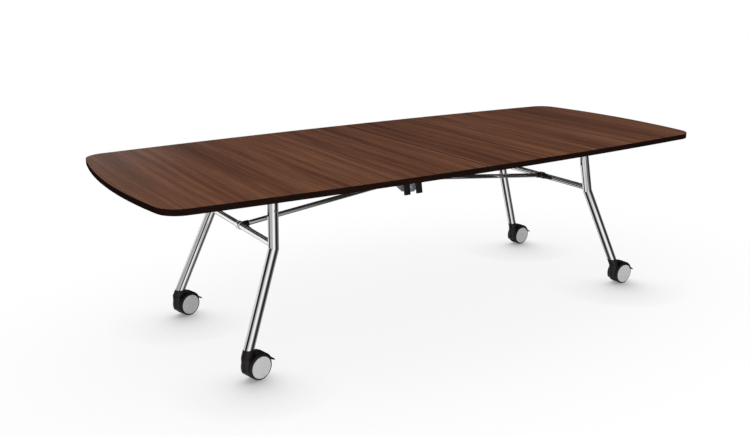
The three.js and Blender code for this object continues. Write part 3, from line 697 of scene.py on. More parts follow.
def makeMetal(name, dark, pale, roughness, spread, wipe, metallic=1.0):
    # bare, plated or lacquered metal: cloudy tone, fine wipe marks in the gloss
    material, desk, shader = newFinish(name, roughness, metallic)
    point = desk.objectPoint()
    cloud = desk.noise(point, metalSet["cloudScale"], 3.0)
    marks = desk.noise(desk.stretched(point, metalSet["markScale"]), 1.0, 2.0, 0.6)
    tone = desk.blended(cloud, marks, metalSet["markShare"])
    desk.feed(shader.inputs["Base Color"], desk.ramp(tone, list(zip(metalSet["toneStops"], (dark, pale)))))
    gloss = desk.between(tone, *metalSet["glossRange"], roughness - spread, roughness + spread)
    desk.feed(shader.inputs["Roughness"], gloss)
    desk.feed(shader.inputs["Normal"], desk.bump(marks, wipe, metalSet["bumpStrength"]))
    return material


mouldedSet = {
    "mottleScale": 55,
    "grainShare": 0.4,
    "toneStops": (0.3, 0.7),
    "glossRange": (0.3, 0.7),
    "spread": 0.06,
    "bumpStrength": 0.5,
}


def makeMoulded(name, dark, pale, roughness, grain, depth):
    # moulded plastic and rubber: fine spark-eroded grain over a faint mottle
    material, desk, shader = newFinish(name, roughness)
    point = desk.objectPoint()
    mottle = desk.noise(point, mouldedSet["mottleScale"], 3.0)
    fine = desk.noise(point, grain, 2.0, 0.6)
    tone = desk.blended(mottle, fine, mouldedSet["grainShare"])
    desk.feed(shader.inputs["Base Color"], desk.ramp(tone, list(zip(mouldedSet["toneStops"], (dark, pale)))))
    spread = mouldedSet["spread"]
    gloss = desk.between(mottle, *mouldedSet["glossRange"], roughness - spread, roughness + spread)
    desk.feed(shader.inputs["Roughness"], gloss)
    desk.feed(shader.inputs["Normal"], desk.bump(fine, depth, mouldedSet["bumpStrength"]))
    return material


veneer = makeVeneer()
shadedEdgeBand = makeEdgeBand()
backing = makeBacking()
chrome = makeMetal("polishedChrome", dark=(0.84, 0.845, 0.85), pale=(0.90, 0.905, 0.91),
                   roughness=0.035, spread=0.015, wipe=0.001 * mm)
zincSteel = makeMetal("zincSteel", dark=(0.33, 0.34, 0.36), pale=(0.44, 0.45, 0.47),
                      roughness=0.42, spread=0.08, wipe=0.01 * mm, metallic=0.3)
boltSteel = makeMetal("boltSteel", dark=(0.42, 0.42, 0.43), pale=(0.56, 0.56, 0.57),
                      roughness=0.28, spread=0.07, wipe=0.01 * mm)
coverSilver = makeMetal("silverLacquer", dark=(0.70, 0.705, 0.71), pale=(0.78, 0.785, 0.79),
                        roughness=0.42, spread=0.04, wipe=0.004 * mm, metallic=0.0)
blackPlastic = makeMoulded("blackPlastic", dark=(0.0080, 0.0056, 0.0050), pale=(0.0140, 0.0100, 0.0090),
                           roughness=0.52, grain=1400, depth=0.03 * mm)
tyreRubber = makeMoulded("tyreRubber", dark=(0.0120, 0.0110, 0.0105), pale=(0.0230, 0.0215, 0.0205),
                         roughness=0.72, grain=900, depth=0.05 * mm)
print("finishes made")


# Table leaves: bowed sides and end, eased rims, a near-black edge band under the veneer, its dark wood tone
# deepened as painted shade of the undercut rim that faces the floor
panelLow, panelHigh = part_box("top_panel_right")
undersideZ = panelLow.z
leafSet = {
    "sideBow": 46 * mm,
    "endBow": 53 * mm,
    "cornerRadius": 90 * mm,
    "undercut": 45 * mm,
    "land": 24 * mm,
    "easing": 1.2 * mm,
    "lowEasing": 2.4 * mm,
    "splitEasing": 2.2 * mm,  # banded like the rim, so that the split reads as a dark line: painted shade of the gap between the leaves
    "easingSteps": 4,
    "topFacing": 0.5,  # a face that looks up more than this is veneered
    "underFacing": -0.99,
    "sharpAngle": 12,
    "sideSteps": 40,
    "cornerSteps": 20,
    "endSteps": 48,
}


def leafOutline(inset, splitInset):
    halfMiddle = panelHigh.y
    halfCorner = halfMiddle - leafSet["sideBow"]
    length = panelHigh.x
    radius = leafSet["cornerRadius"]
    sideBow, endBow = leafSet["sideBow"], leafSet["endBow"]
    sideRadius = ((length - endBow) ** 2 + sideBow ** 2) / (2 * sideBow)
    endRadius = (halfCorner ** 2 + endBow ** 2) / (2 * endBow)
    sideCentre = Vector((0, sideRadius - halfMiddle))
    endCentre = Vector((length - endRadius, 0))
    toEnd = endCentre - sideCentre
    apart = toEnd.length
    toEnd.normalize()
    sideReach, endReach = sideRadius - radius, endRadius - radius
    along = (sideReach ** 2 - endReach ** 2 + apart ** 2) / (2 * apart)
    across = math.sqrt(sideReach ** 2 - along ** 2)
    corner = sideCentre + toEnd * along + Vector((-toEnd.y, toEnd.x)) * across
    splitAngle = math.asin((panelLow.x + splitInset) / (sideRadius - inset)) - math.pi / 2
    sideAngle = math.atan2(corner.y - sideCentre.y, corner.x)
    endAngle = math.atan2(corner.y, corner.x - endCentre.x)
    front = arcPoints(0, sideCentre.y, sideRadius - inset, splitAngle, sideAngle, leafSet["sideSteps"])
    front += arcPoints(corner.x, corner.y, radius - inset, sideAngle, endAngle, leafSet["cornerSteps"])[1:]
    front += arcPoints(endCentre.x, 0, endRadius - inset, endAngle, 0, leafSet["endSteps"] // 2)[1:]
    rear = [(x, -y) for x, y in reversed(front[:-1])]
    return front + rear


def leafLevels():
    # height, inset of the rim and inset at the split, from the underside to the top face
    low, high, soft, split = undersideZ, panelHigh.z, leafSet["easing"], leafSet["splitEasing"]
    landZ = high - leafSet["land"]
    under, turnIn = leafSet["undercut"], leafSet["lowEasing"]
    slope = (landZ - low) / under
    levels = [(low, under, split), (low + split, under - split / slope, 0)]
    rim = [(1 - math.sin(angle), 1 - math.cos(angle)) for angle in quarterTurn(leafSet["easingSteps"])]
    levels += [(landZ + turnIn * fall, turnIn * inset, 0) for fall, inset in reversed(rim)]
    levels += [(high - soft * fall, soft * inset, split * inset) for fall, inset in rim]
    return levels


def makeLeaf(name):
    bm = bmesh.new()
    rings = [[bm.verts.new((x, y, level)) for x, y in leafOutline(inset, split)]
             for level, inset, split in leafLevels()]
    bm = toHalf(addSkin(bm, rings), name)
    veneered, banded, backed = range(3)
    splitEnd = panelLow.x + leafSet["splitEasing"] + weldDistance
    for face in bm.faces:
        face.normal_update()
        face.material_index = banded
        if face.normal.z < leafSet["underFacing"]:
            face.material_index = backed
        # the eased strips at the split keep the near-black band, as painted shade of the gap
        elif face.normal.z > leafSet["topFacing"] and any(abs(vert.co.x) > splitEnd for vert in face.verts):
            face.material_index = veneered
    fitPiece("leaf_" + name, bm, [veneer, shadedEdgeBand, backing], "veneer", ["top_panel_" + name],
             sharpAngle=leafSet["sharpAngle"])


for half in halves:
    makeLeaf(half)
print("leaves made")


# Leg frames
legSet = {
    "head": Vector((788.3, 272.5, 696)) * mm,
    "knee": Vector((807.5, 303, 472)) * mm,
    "foot": Vector((947, 359.2, 126.6)) * mm,
    "radius": 20 * mm,
    "top": 659 * mm,
    "slotHalf": 5.5 * mm,
    "slotBottom": 592 * mm,
    "pinRadius": 5 * mm,
    "pinReach": 22 * mm,
    "pinEasing": 0.8 * mm,
    "sides": 72,
    "pinSides": 32,
    "sharpAngle": 9,
}
legPivot = Vector((jointPlace["leg_pivot_right"].x, 0, jointPlace["leg_pivot_right"].z))


def onLeg(start, end, height):
    return start.lerp(end, (height - start.z) / (end.z - start.z))


legPivot.y = onLeg(legSet["head"], legSet["knee"], legPivot.z).y


def sided(point, side):
    return Vector((point.x, side * point.y, point.z))


def legAxis(side):
    top = onLeg(legSet["head"], legSet["knee"], legSet["top"])
    return [sided(point, side) for point in (legSet["foot"], legSet["knee"], top)]


def legPlace(half, side):
    facing = "front" if side * halves[half] < 0 else "rear"
    return facing + "_" + half


def makeLeg(half, side):
    place = legPlace(half, side)
    middle = side * legPivot.y
    wide = 2 * legSet["radius"]
    tube = mitredBar(legAxis(side), legSet["radius"], legSet["sides"])
    slot = blockSolid(legPivot.x - wide, legPivot.x + wide, middle - legSet["slotHalf"],
                      middle + legSet["slotHalf"], legSet["slotBottom"], legSet["top"] + wide)
    bore = barY(legPivot.x, legPivot.z, middle - wide, middle + wide, legSet["pinRadius"] + boltFit)
    fitPiece("leg_tube_" + place, toHalf(cut(tube, slot, bore), half), [chrome], "chrome_tube",
             ["leg_" + place], sharpAngle=legSet["sharpAngle"])
    reach = legSet["pinReach"]
    pin = barY(legPivot.x, legPivot.z, middle - reach, middle + reach, legSet["pinRadius"],
               legSet["pinEasing"], legSet["pinSides"])
    fitPiece("leg_pivot_pin_" + place, toHalf(pin, half), [boltSteel], "bracket_steel", ["leg_pin_" + place])


crossSet = {
    "radius": 12.5 * mm,
    "height": 485 * mm,
    "sides": 64,
}
crossPlace = onLeg(legSet["head"], legSet["knee"], crossSet["height"])


def makeCrossTube(half):
    reach = crossPlace.y
    tube = barY(crossPlace.x, crossPlace.z, -reach, reach, crossSet["radius"], 0.0, crossSet["sides"])
    copes = [mitredBar(legAxis(side), legSet["radius"], legSet["sides"]) for side in (-1, 1)]
    fitPiece("cross_tube_round_" + half, toHalf(cut(tube, *copes), half), [chrome], "chrome_tube",
             ["cross_tube_" + half])


socketSet = {
    "radius": 20.5 * mm,
    "bottom": 97.6 * mm,
    "top": 126.3 * mm,
    "rim": 1.2 * mm,
    "rimIn": 0.9 * mm,
    "sides": 64,
}


def makeFootSocket(half, side):
    place = legPlace(half, side)
    knee, foot = sided(legSet["knee"], side), sided(legSet["foot"], side)
    run = (foot - knee).normalized()
    across = run.cross(Vector((0, 1, 0))).normalized()
    beside = run.cross(across)
    wide, narrow = socketSet["radius"], socketSet["radius"] - socketSet["rimIn"]
    low, high, rim = socketSet["bottom"], socketSet["top"], socketSet["rim"]
    bm = bmesh.new()
    rings = []
    for height, radius in ((low, narrow), (low + rim, wide), (high - rim, wide), (high, narrow)):
        centre = onLeg(knee, foot, height)
        ring = []
        for u, v in arcPoints(0, 0, radius, 0, 2 * math.pi, socketSet["sides"])[:-1]:
            corner = centre + across * u + beside * v
            corner -= run * ((corner.z - height) / run.z)
            ring.append(bm.verts.new(corner))
        rings.append(ring)
    fitPiece("foot_plug_" + place, toHalf(addSkin(bm, rings), half), [blackPlastic], "black_plastic",
             ["foot_socket_" + place])


for half in halves:
    makeCrossTube(half)
    for side in (-1, 1):
        makeLeg(half, side)
        makeFootSocket(half, side)
print("leg frames made")


# Mount rails under the leaves
railSet = {
    "halfWidth": 40 * mm,
    "endMargin": 50 * mm,
    "thickness": 4 * mm,
    "corner": 8 * mm,
    "easing": 0.8 * mm,
    "tongueRadius": 17 * mm,
    "tongueHalf": 5 * mm,
    "tongueSteps": 24,
}


def makeRail(half):
    x, z, wide = legPivot.x, legPivot.z, railSet["halfWidth"]
    length = legPivot.y + railSet["endMargin"]
    plate = slab(rectangle(x - wide, x + wide, -length, length, railSet["corner"]),
                 flat, undersideZ - railSet["thickness"], undersideZ, railSet["easing"])
    radius = railSet["tongueRadius"]
    top = undersideZ - railSet["thickness"] / 2
    outline = arcPoints(x, z, radius, math.pi, 2 * math.pi, railSet["tongueSteps"])
    outline += [(x + radius, top), (x - radius, top)]
    tongues = []
    bores = []
    for side in (-1, 1):
        middle = side * legPivot.y
        y0, y1 = middle - railSet["tongueHalf"], middle + railSet["tongueHalf"]
        tongues.append(slab(outline, upright, y0, y1, railSet["easing"]))
        bores.append(barY(x, z, y0 - radius, y1 + radius, legSet["pinRadius"] + boltFit))
    rail = cut(join(plate, *tongues), *bores)
    fitPiece("mount_rail_" + half, toHalf(rail, half), [zincSteel], "bracket_steel",
             ["leg_mount_rail_" + half])


# Long hinge under the split, with the beam between its two rows of knuckles
hingeSet = {
    "halfLength": 382.5 * mm,
    "knuckles": 5,
    "knuckleRadius": 5.5 * mm,
    "knuckleGap": 0.6 * mm,
    "knuckleSides": 40,
    "rodRadius": 3 * mm,
    "rodEasing": 0.8 * mm,
    "rodSides": 32,
    "boreOver": 10 * mm,
    "webReach": 4 * mm,  # from a knuckle into the plate, a little under its face
    "webDrop": 0.02 * mm,
    "plateStart": 8 * mm,
    "plateWidth": 42 * mm,
    "plateThickness": 3 * mm,
    "plateCorner": 6 * mm,
    "easing": 0.5 * mm,
}
beamSet = {
    "halfWidth": 40 * mm,
    "top": 698 * mm,
    "bottom": 662 * mm,
    "wall": 3 * mm,
    "corner": 5 * mm,
    "easing": 0.4 * mm,
}
hingeLine = jointPlace["centre_hinge_right"]


def knuckleRows(parity):
    pitch = 2 * hingeSet["halfLength"] / hingeSet["knuckles"]
    gap = hingeSet["knuckleGap"] / 2
    starts = [i * pitch - hingeSet["halfLength"] for i in range(parity, hingeSet["knuckles"], 2)]
    return [(start + gap, start + pitch - gap) for start in starts]


def onHinge(side, y0, y1, radius, easing, sides):
    return barY(side * hingeLine.x, hingeLine.z, y0, y1, radius, easing, sides)


def knuckle(side, y0, y1):
    return onHinge(side, y0, y1, hingeSet["knuckleRadius"], hingeSet["easing"], hingeSet["knuckleSides"])


def hingeBore(side):
    reach = hingeSet["halfLength"] + hingeSet["boreOver"]
    return onHinge(side, -reach, reach, hingeSet["rodRadius"] + boltFit, 0.0, hingeSet["rodSides"])


def makeHingeLeaf(half):
    length = hingeSet["halfLength"]
    bottom = undersideZ - hingeSet["plateThickness"]
    start = hingeLine.x + hingeSet["plateStart"]
    corner = hingeSet["plateCorner"]
    outline = roundedOutline([
        (start, -length, 0), (start + hingeSet["plateWidth"], -length, corner),
        (start + hingeSet["plateWidth"], length, corner), (start, length, 0)])
    shapes = [slab(outline, flat, bottom, undersideZ, hingeSet["easing"])]
    for y0, y1 in knuckleRows(0):
        shapes.append(knuckle(1, y0, y1))
        shapes.append(blockSolid(hingeLine.x, start + hingeSet["webReach"], y0, y1, bottom,
                                 undersideZ - hingeSet["webDrop"]))
    leaf = cut(join(*shapes), hingeBore(1))
    fitPiece("hinge_plate_" + half, toHalf(leaf, half), [zincSteel], "bracket_steel", ["hinge_leaf_" + half])
    rod = onHinge(halves[half], -length, length, hingeSet["rodRadius"], hingeSet["rodEasing"],
                  hingeSet["rodSides"])
    fitPiece("hinge_pin_" + half, rod, [boltSteel], "bracket_steel", ["hinge_rod_" + half])


def makeBeam():
    wide, wall = beamSet["halfWidth"], beamSet["wall"]
    low, high = beamSet["bottom"], beamSet["top"]
    length = hingeSet["halfLength"]
    outer = slab(rectangle(-wide, wide, low, high, beamSet["corner"]), upright, -length, length,
                 beamSet["easing"])
    inner = slab(rectangle(wall - wide, wide - wall, low + wall, high - wall, beamSet["corner"] - wall),
                 upright, -length - wall, length + wall)
    shapes = [outer]
    for side in (-1, 1):
        x0, x1 = sorted((side * (wide - wall / 2), side * hingeLine.x))
        for y0, y1 in knuckleRows(1):
            shapes.append(knuckle(side, y0, y1))
            shapes.append(blockSolid(x0, x1, y0, y1, hingeLine.z - hingeSet["knuckleRadius"], hingeLine.z))
    beam = cut(join(*shapes), inner, hingeBore(-1), hingeBore(1))
    fitPiece("hinge_box_beam", beam, [zincSteel], "bracket_steel", ["hinge_beam"])


makeBeam()
for half in halves:
    makeRail(half)
    makeHingeLeaf(half)
print("hinge and rails made")


# Tie bars from the yoke to the cross tubes
tieInner = jointPlace["tie_pivot_right"]
tieOuter = Vector((crossPlace.x, 0, crossPlace.z))
tieRun = (tieOuter - tieInner).normalized()
tieSet = {
    "radius": 10 * mm,
    "eyeRadius": 17 * mm,
    "eyeHalf": 9 * mm,
    "neckRadius": 9 * mm,
    "neckLength": 45 * mm,
    "tubeStart": 28 * mm,
    "lobeIn": 14 * mm,
    "lobeDown": 10.8 * mm,
    "lobeRadius": 9 * mm,
    "latchHole": 5 * mm,
    "pinRadius": 5 * mm,
    "easing": 1.2 * mm,
    "tubeEasing": 1.0 * mm,
    "sides": 64,
    "lobeSides": 48,
}
collarSet = {
    "ringRadius": 16.1 * mm,
    "boreRadius": 13.1 * mm,
    "halfWidth": 13 * mm,
    "sleeveLength": 36 * mm,
    "sleeveRadius": 12.3 * mm,
    "sleeveFlare": 0.6 * mm,
    "seat": 18 * mm,
    "seatGap": 0.3 * mm,
    "easing": 1.0 * mm,
    "sides": 64,
    "sleeveSides": 56,
    "saddleIn": 12.7 * mm,  # tapered shell on the cross tube, towards the front
    "saddleOut": 14.6 * mm,
    "saddleFrom": 13.4 * mm,
    "saddleTo": 82 * mm,
    "saddleSpread": (math.radians(78), math.radians(20)),
    "saddleSwell": 0.8,  # power that rounds its taper
    "saddleSteps": (24, 20),
}
pinHole = tieSet["pinRadius"] + boltFit


def makeTie(half):
    x, z = tieInner.x, tieInner.z
    deep = tieSet["eyeHalf"]
    lobeX, lobeZ = x - tieSet["lobeIn"], z - tieSet["lobeDown"]
    sides = tieSet["sides"]
    eye = barY(x, z, -deep, deep, tieSet["eyeRadius"], tieSet["easing"], sides)
    lobe = barY(lobeX, lobeZ, -deep, deep, tieSet["lobeRadius"], tieSet["easing"], tieSet["lobeSides"])
    neck = roundBar(tieInner, tieInner + tieRun * tieSet["neckLength"], tieSet["neckRadius"], 0.0, sides)
    tubeStart = tieInner + tieRun * tieSet["tubeStart"]
    tubeEnd = tieOuter - tieRun * (collarSet["seat"] + collarSet["seatGap"])
    tube = roundBar(tubeStart, tubeEnd, tieSet["radius"], tieSet["tubeEasing"], sides)
    tie = cut(join(eye, lobe, neck, tube),
              barY(x, z, -2 * deep, 2 * deep, pinHole),
              barY(lobeX, lobeZ, -2 * deep, 2 * deep, tieSet["latchHole"]))
    fitPiece("tie_rod_" + half, toHalf(tie, half), [chrome], "chrome_tube", ["tie_bar_" + half])


def makeCollar(half):
    deep, sides = collarSet["halfWidth"], collarSet["sides"]
    x, z = tieOuter.x, tieOuter.z
    bore = barY(x, z, -2 * deep, 2 * deep, collarSet["boreRadius"], 0.0, sides)
    ring = cut(barY(x, z, -deep, deep, collarSet["ringRadius"], collarSet["easing"], sides), bore)
    fitPiece("tie_ring_" + half, toHalf(ring, half), [chrome], "chrome_tube", [], "tie_" + half)
    end = tieOuter - tieRun * collarSet["sleeveLength"]
    wide = collarSet["sleeveRadius"] + collarSet["sleeveFlare"]
    around = collarSet["sleeveSides"]
    sleeve = roundBar(tieOuter, end, wide, collarSet["easing"], around, collarSet["sleeveRadius"])
    socket = roundBar(tieOuter - tieRun * collarSet["seat"], end - tieRun * tieSet["radius"],
                      tieSet["radius"] + collarSet["seatGap"], 0.0, around)
    seat = barY(x, z, -2 * deep, 2 * deep, collarSet["ringRadius"], 0.0, sides)
    fitPiece("tie_sleeve_" + half, toHalf(cut(sleeve, seat, socket), half), [blackPlastic], "black_plastic",
             ["tie_collar_" + half])


def makeSaddle(half):
    x, z = tieOuter.x, tieOuter.z
    inward = math.atan2(-tieRun.z, -tieRun.x)
    around, along = collarSet["saddleSteps"]
    wide, narrow = collarSet["saddleSpread"]
    saddle = bmesh.new()
    rows = []
    for step in range(along + 1):
        share = step / along
        spread = wide + (narrow - wide) * share ** collarSet["saddleSwell"]
        y = -halves[half] * (collarSet["saddleFrom"] * (1 - share) + collarSet["saddleTo"] * share)
        outline = arcPoints(x, z, collarSet["saddleOut"], inward - spread, inward + spread, around)
        outline += arcPoints(x, z, collarSet["saddleIn"], inward + spread, inward - spread, around)
        rows.append([saddle.verts.new((u, y, v)) for u, v in outline])
    addWalls(saddle, rows)
    for row in (rows[0], rows[-1]):
        for i in range(around):
            saddle.faces.new((row[i], row[i + 1], row[-2 - i], row[-1 - i]))
    fitPiece("tie_saddle_" + half, toHalf(closeUp(saddle), half), [blackPlastic], "black_plastic", [],
             "tie_" + half)


for half in halves:
    makeTie(half)
    makeCollar(half)
    makeSaddle(half)
print("ties made")


# Yoke that hangs from the beam and carries the inner ends of the ties
yokeSet = {
    "inner": 10.5 * mm,
    "outer": 15.5 * mm,
    "flangeBottom": 656 * mm,
    "flangeHalf": 32 * mm,
    "shoulder": 38 * mm,
    "lobeRadius": 20 * mm,
    "bottom": 512 * mm,
    "bottomHalf": 24 * mm,
    "flangeCorner": 4 * mm,
    "overlap": 3 * mm,  # of the cheeks in the flange
    "spacerHalf": 8 * mm,
    "spacerInset": 1 * mm,
    "spacerBottom": 616 * mm,
    "bossHalf": 16.5 * mm,
    "bossTop": 605 * mm,
    "bossBottom": 589 * mm,
    "easing": 0.9 * mm,
    "lobeSteps": 16,
    "boltRadius": 8 * mm,
    "boltHeight": 3 * mm,
    "boltSteps": 8,
    "boltSwell": 0.8,  # power that rounds the head
    "pinChamfer": 0.6 * mm,
    "pinSides": 40,
}
handleLine = jointPlace["release_pull"]
handleSet = {
    "hubRadius": 7 * mm,
    "armInset": 17 * mm,
    "armOuter": 47 * mm,
    "endRadius": 5 * mm,
    "lean": 17 * mm,
    "length": 83 * mm,
    "padStandoff": 7 * mm,
    "padHalf": 6 * mm,
    "shaftRadius": 3 * mm,
    "shaftInset": 2 * mm,
    "shaftSides": 32,
    "hubSteps": 20,
    "endSteps": 14,
    "easing": 1.6 * mm,
}
latchSet = {
    "drop": 12 * mm,  # below the tie pins
    "barHalf": 5 * mm,
    "barThickness": 6 * mm,
    "barOver": 5 * mm,
    "barCorner": 2 * mm,
    "fingerRadius": 3 * mm,
    "fingerRoot": 3 * mm,
    "fingerTip": -11.5 * mm,
    "fingerEasing": 0.8 * mm,
    "fingerSides": 32,
    "easing": 1.0 * mm,
}
latchZ = tieInner.z - latchSet["drop"]
fingerX = tieInner.x - tieSet["lobeIn"]


def handleShaft(reach, radius):
    start, end = (Vector((x, handleLine.y, handleLine.z)) for x in (-reach, reach))
    return roundBar(start, end, radius, 0.0, handleSet["shaftSides"])


def makeYoke():
    x, z, lobe = tieInner.x, tieInner.z, yokeSet["lobeRadius"]
    flangeMiddle = yokeSet["flangeBottom"] + yokeSet["overlap"]
    shoulder, low = yokeSet["shoulder"], yokeSet["bottom"]
    rightLobe = arcPoints(x, z, lobe, -math.pi / 2, 0, yokeSet["lobeSteps"])
    leftLobe = arcPoints(-x, z, lobe, math.pi, 1.5 * math.pi, yokeSet["lobeSteps"])
    outline = leftLobe + [(-yokeSet["bottomHalf"], low), (yokeSet["bottomHalf"], low)] + rightLobe
    outline += [(shoulder, flangeMiddle), (-shoulder, flangeMiddle)]
    inner, outer = yokeSet["inner"], yokeSet["outer"]
    deep, spacer = yokeSet["flangeHalf"], outer - yokeSet["spacerInset"]
    bossEnd = handleLine.y - handleSet["hubRadius"]
    yoke = join(
        slab(outline, upright, -outer, -inner, yokeSet["easing"]),
        slab(outline, upright, inner, outer, yokeSet["easing"]),
        slab(rectangle(-shoulder, shoulder, -deep, deep, yokeSet["flangeCorner"]), flat,
             yokeSet["flangeBottom"], beamSet["bottom"], yokeSet["easing"]),
        blockSolid(-yokeSet["spacerHalf"], yokeSet["spacerHalf"], -spacer, spacer,
                   yokeSet["spacerBottom"], flangeMiddle),
        blockSolid(-yokeSet["bossHalf"], yokeSet["bossHalf"], bossEnd, -inner, yokeSet["bossBottom"],
                   yokeSet["bossTop"], yokeSet["easing"]))
    wide = 2 * outer
    holes = [handleShaft(shoulder, handleSet["shaftRadius"] + boltFit)]
    for side in (-1, 1):
        holes.append(barY(side * x, z, -wide, wide, pinHole))
        holes.append(barY(side * fingerX, z - tieSet["lobeDown"], -wide, wide, tieSet["latchHole"]))
    fitPiece("centre_yoke", cut(yoke, *holes), [zincSteel], "bracket_steel", ["tie_yoke"])


def makeTiePin(half):
    # turned pin with a domed head at the front
    outer, radius, chamfer = yokeSet["outer"], tieSet["pinRadius"], yokeSet["pinChamfer"]
    profile = [(yokeSet["boltRadius"] * math.cos(a),
                -outer - yokeSet["boltHeight"] * math.sin(a) ** yokeSet["boltSwell"])
               for a in reversed(quarterTurn(yokeSet["boltSteps"]))]
    profile += [(radius, -outer), (radius, outer - chamfer), (radius - chamfer, outer), (0, outer)]
    origin = (halves[half] * tieInner.x, 0, tieInner.z)
    pin = turned(profile, origin, (0, 1, 0), yokeSet["pinSides"])
    fitPiece("tie_pivot_pin_" + half, pin, [boltSteel], "bracket_steel", ["tie_pin_" + half])


def makeHandle():
    y, z = handleLine.y, handleLine.z
    padY = y - handleSet["padStandoff"]
    pad = handleSet["padHalf"]
    outline = arcPoints(y, z, handleSet["hubRadius"], 0, math.pi, handleSet["hubSteps"])
    outline += arcPoints(y - handleSet["lean"], z - handleSet["length"], handleSet["endRadius"],
                         math.pi, 2 * math.pi, handleSet["endSteps"])
    outline += [(padY, latchZ - pad), (padY, latchZ + pad)]
    inset, end = handleSet["armInset"], handleSet["armOuter"]
    arms = [slab(outline, endOn, x0, x1, handleSet["easing"]) for x0, x1 in ((inset, end), (-end, -inset))]
    shaft = handleShaft(end - handleSet["shaftInset"], handleSet["shaftRadius"])
    fitPiece("release_paddle", join(shaft, *arms), [blackPlastic], "black_plastic", ["release_handle"])


def makeLatch():
    front = handleLine.y - handleSet["padStandoff"]
    low, high = latchZ - latchSet["barHalf"], latchZ + latchSet["barHalf"]
    end = fingerX + latchSet["barOver"]
    shapes = [slab(rectangle(-end, end, low, high, latchSet["barCorner"]), upright,
                   front, front + latchSet["barThickness"], latchSet["easing"])]
    for side in (-1, 1):
        shapes.append(barY(side * fingerX, latchZ, front + latchSet["fingerRoot"], latchSet["fingerTip"],
                           latchSet["fingerRadius"], latchSet["fingerEasing"], latchSet["fingerSides"]))
    fitPiece("latch_crossbar", join(*shapes), [zincSteel], "bracket_steel", ["latch_bar"])


makeYoke()
makeHandle()
makeLatch()
for half in halves:
    makeTiePin(half)
print("folding centre made")


# Castors: drawn about the swivel axis on the floor, then moved to each leg
castorSet = {
    "trail": 45 * mm,
    "wheelRadius": 50 * mm,
    "wheelIn": 7 * mm,
    "wheelOut": 27 * mm,
    "tyreRound": 4.5 * mm,
    "roundSteps": 6,
    "partingHalf": 0.5 * mm,  # moulding groove round the tyre
    "partingDepth": 0.4 * mm,
    # groove round the cover, in mm from the cover's edge and the wheel's face
    "rimGroove": ((0.4, 0.0), (0.2, -0.8), (-1.5, -0.8), (-2.5, 0.0)),
    "coverRadius": 42.4 * mm,
    "coverGap": 0.3 * mm,
    "coverOut": 30 * mm,
    "coverEdge": ((-0.6, 0.0), (0.0, 0.5)),  # in mm from the cover's edge and its back
    "beadRadius": 1.1 * mm,
    "beadRise": 0.9 * mm,
    "dishInset": 2.2 * mm,
    "domeInset": 3.0 * mm,
    "domeRise": 1.7 * mm,
    "domeSteps": 14,
    "hoodInner": 52 * mm,
    "hoodOuter": 55 * mm,
    "hoodHalf": 28 * mm,
    "hoodRound": 2.4 * mm,
    "hoodFrom": math.radians(66),
    "hoodTo": math.radians(205),
    "hoodSteps": 72,
    "webHalf": 6.4 * mm,
    "webTo": math.radians(135),
    "webSteps": 24,
    "wellOver": 4 * mm,
    "legClear": 3 * mm,
    "hubRadius": 14 * mm,
    "hubSides": 56,
    "bossRadius": 21 * mm,
    "bossBottom": 45 * mm,
    "top": 97 * mm,
    "bossRound": 2.0 * mm,
    "edgeSteps": 5,
    "bossSides": 64,
    "clearSides": 72,
    "axleRadius": 4 * mm,
    "axleReach": 26 * mm,
    "axleEasing": 0.6 * mm,
    "stemRadius": 5 * mm,
    "stemRoot": 10 * mm,
    "stemTop": 119 * mm,
    "stemEasing": 0.8 * mm,
    "thinSides": 32,  # of axle, stem and the brake's hub
    "sides": 96,
}
brakeSet = {
    "pivotRadius": 38 * mm,
    "pivotAngle": math.radians(32),
    "earRadius": 8 * mm,
    "hubRadius": 5 * mm,
    "pinRadius": 2.5 * mm,
    "pinReach": 6.1 * mm,
    "slotHalf": 3.4 * mm,
    "slotFit": 0.4 * mm,
    "earSides": 40,
    "pinSides": 24,
    "armHalf": 3 * mm,
    "pedalSteps": 16,
    "inner": 52.8 * mm,
    "outer": 56 * mm,
    "from": math.radians(14),
    "to": math.radians(64.5),
    "halfWidth": 21 * mm,
    "tabReach": 12 * mm,
    "tabDrop": math.radians(9.5),
    "tabTip": math.radians(6),
    "tabRoot": math.radians(12),
    "easing": 0.9 * mm,
}
axleX, axleZ = castorSet["trail"], castorSet["wheelRadius"]


def onRim(radius, angle):
    return (axleX + radius * math.cos(angle), axleZ + radius * math.sin(angle))


brakePivot = onRim(brakeSet["pivotRadius"], brakeSet["pivotAngle"])


def hoodSector():
    # the hood's section, with rounded shoulders, swept round the axle
    half, outer, soft = castorSet["hoodHalf"], castorSet["hoodOuter"], castorSet["hoodRound"]
    edge, steps = castorSet["edgeSteps"], castorSet["hoodSteps"]
    section = [(0, -half)]
    section += arcPoints(outer - soft, soft - half, soft, -math.pi / 2, 0, edge)
    section += arcPoints(outer - soft, half - soft, soft, 0, math.pi / 2, edge)
    section.append((0, half))
    bm = bmesh.new()
    rings = []
    for i in range(steps + 1):
        angle = castorSet["hoodFrom"] + (castorSet["hoodTo"] - castorSet["hoodFrom"]) * i / steps
        places = [(onRim(radius, angle), y) for radius, y in section]
        rings.append([bm.verts.new((x, y, z)) for (x, z), y in places])
    count = len(section)
    for low, high in zip(rings, rings[1:]):
        for k in range(count - 1):
            bm.faces.new((low[k], low[k + 1], high[k + 1], high[k]))
    bm.faces.new(rings[0])
    bm.faces.new(rings[-1])
    return closeUp(bm)


def axleBar(reach, radius, easing, sides):
    return barY(axleX, axleZ, -reach, reach, radius, easing, sides)


def brakeBar(reach, radius, sides):
    return barY(*brakePivot, -reach, reach, radius, 0.0, sides)


def bossSolid():
    low, high, boss = castorSet["bossBottom"], castorSet["top"], castorSet["bossRadius"]
    soft = castorSet["bossRound"]
    rim = arcPoints(boss - soft, high - soft, soft, 0, math.pi / 2, castorSet["edgeSteps"])
    return turned([(0, low), (boss, low)] + rim + [(0, high)], (0, 0, 0), (0, 0, 1), castorSet["bossSides"])


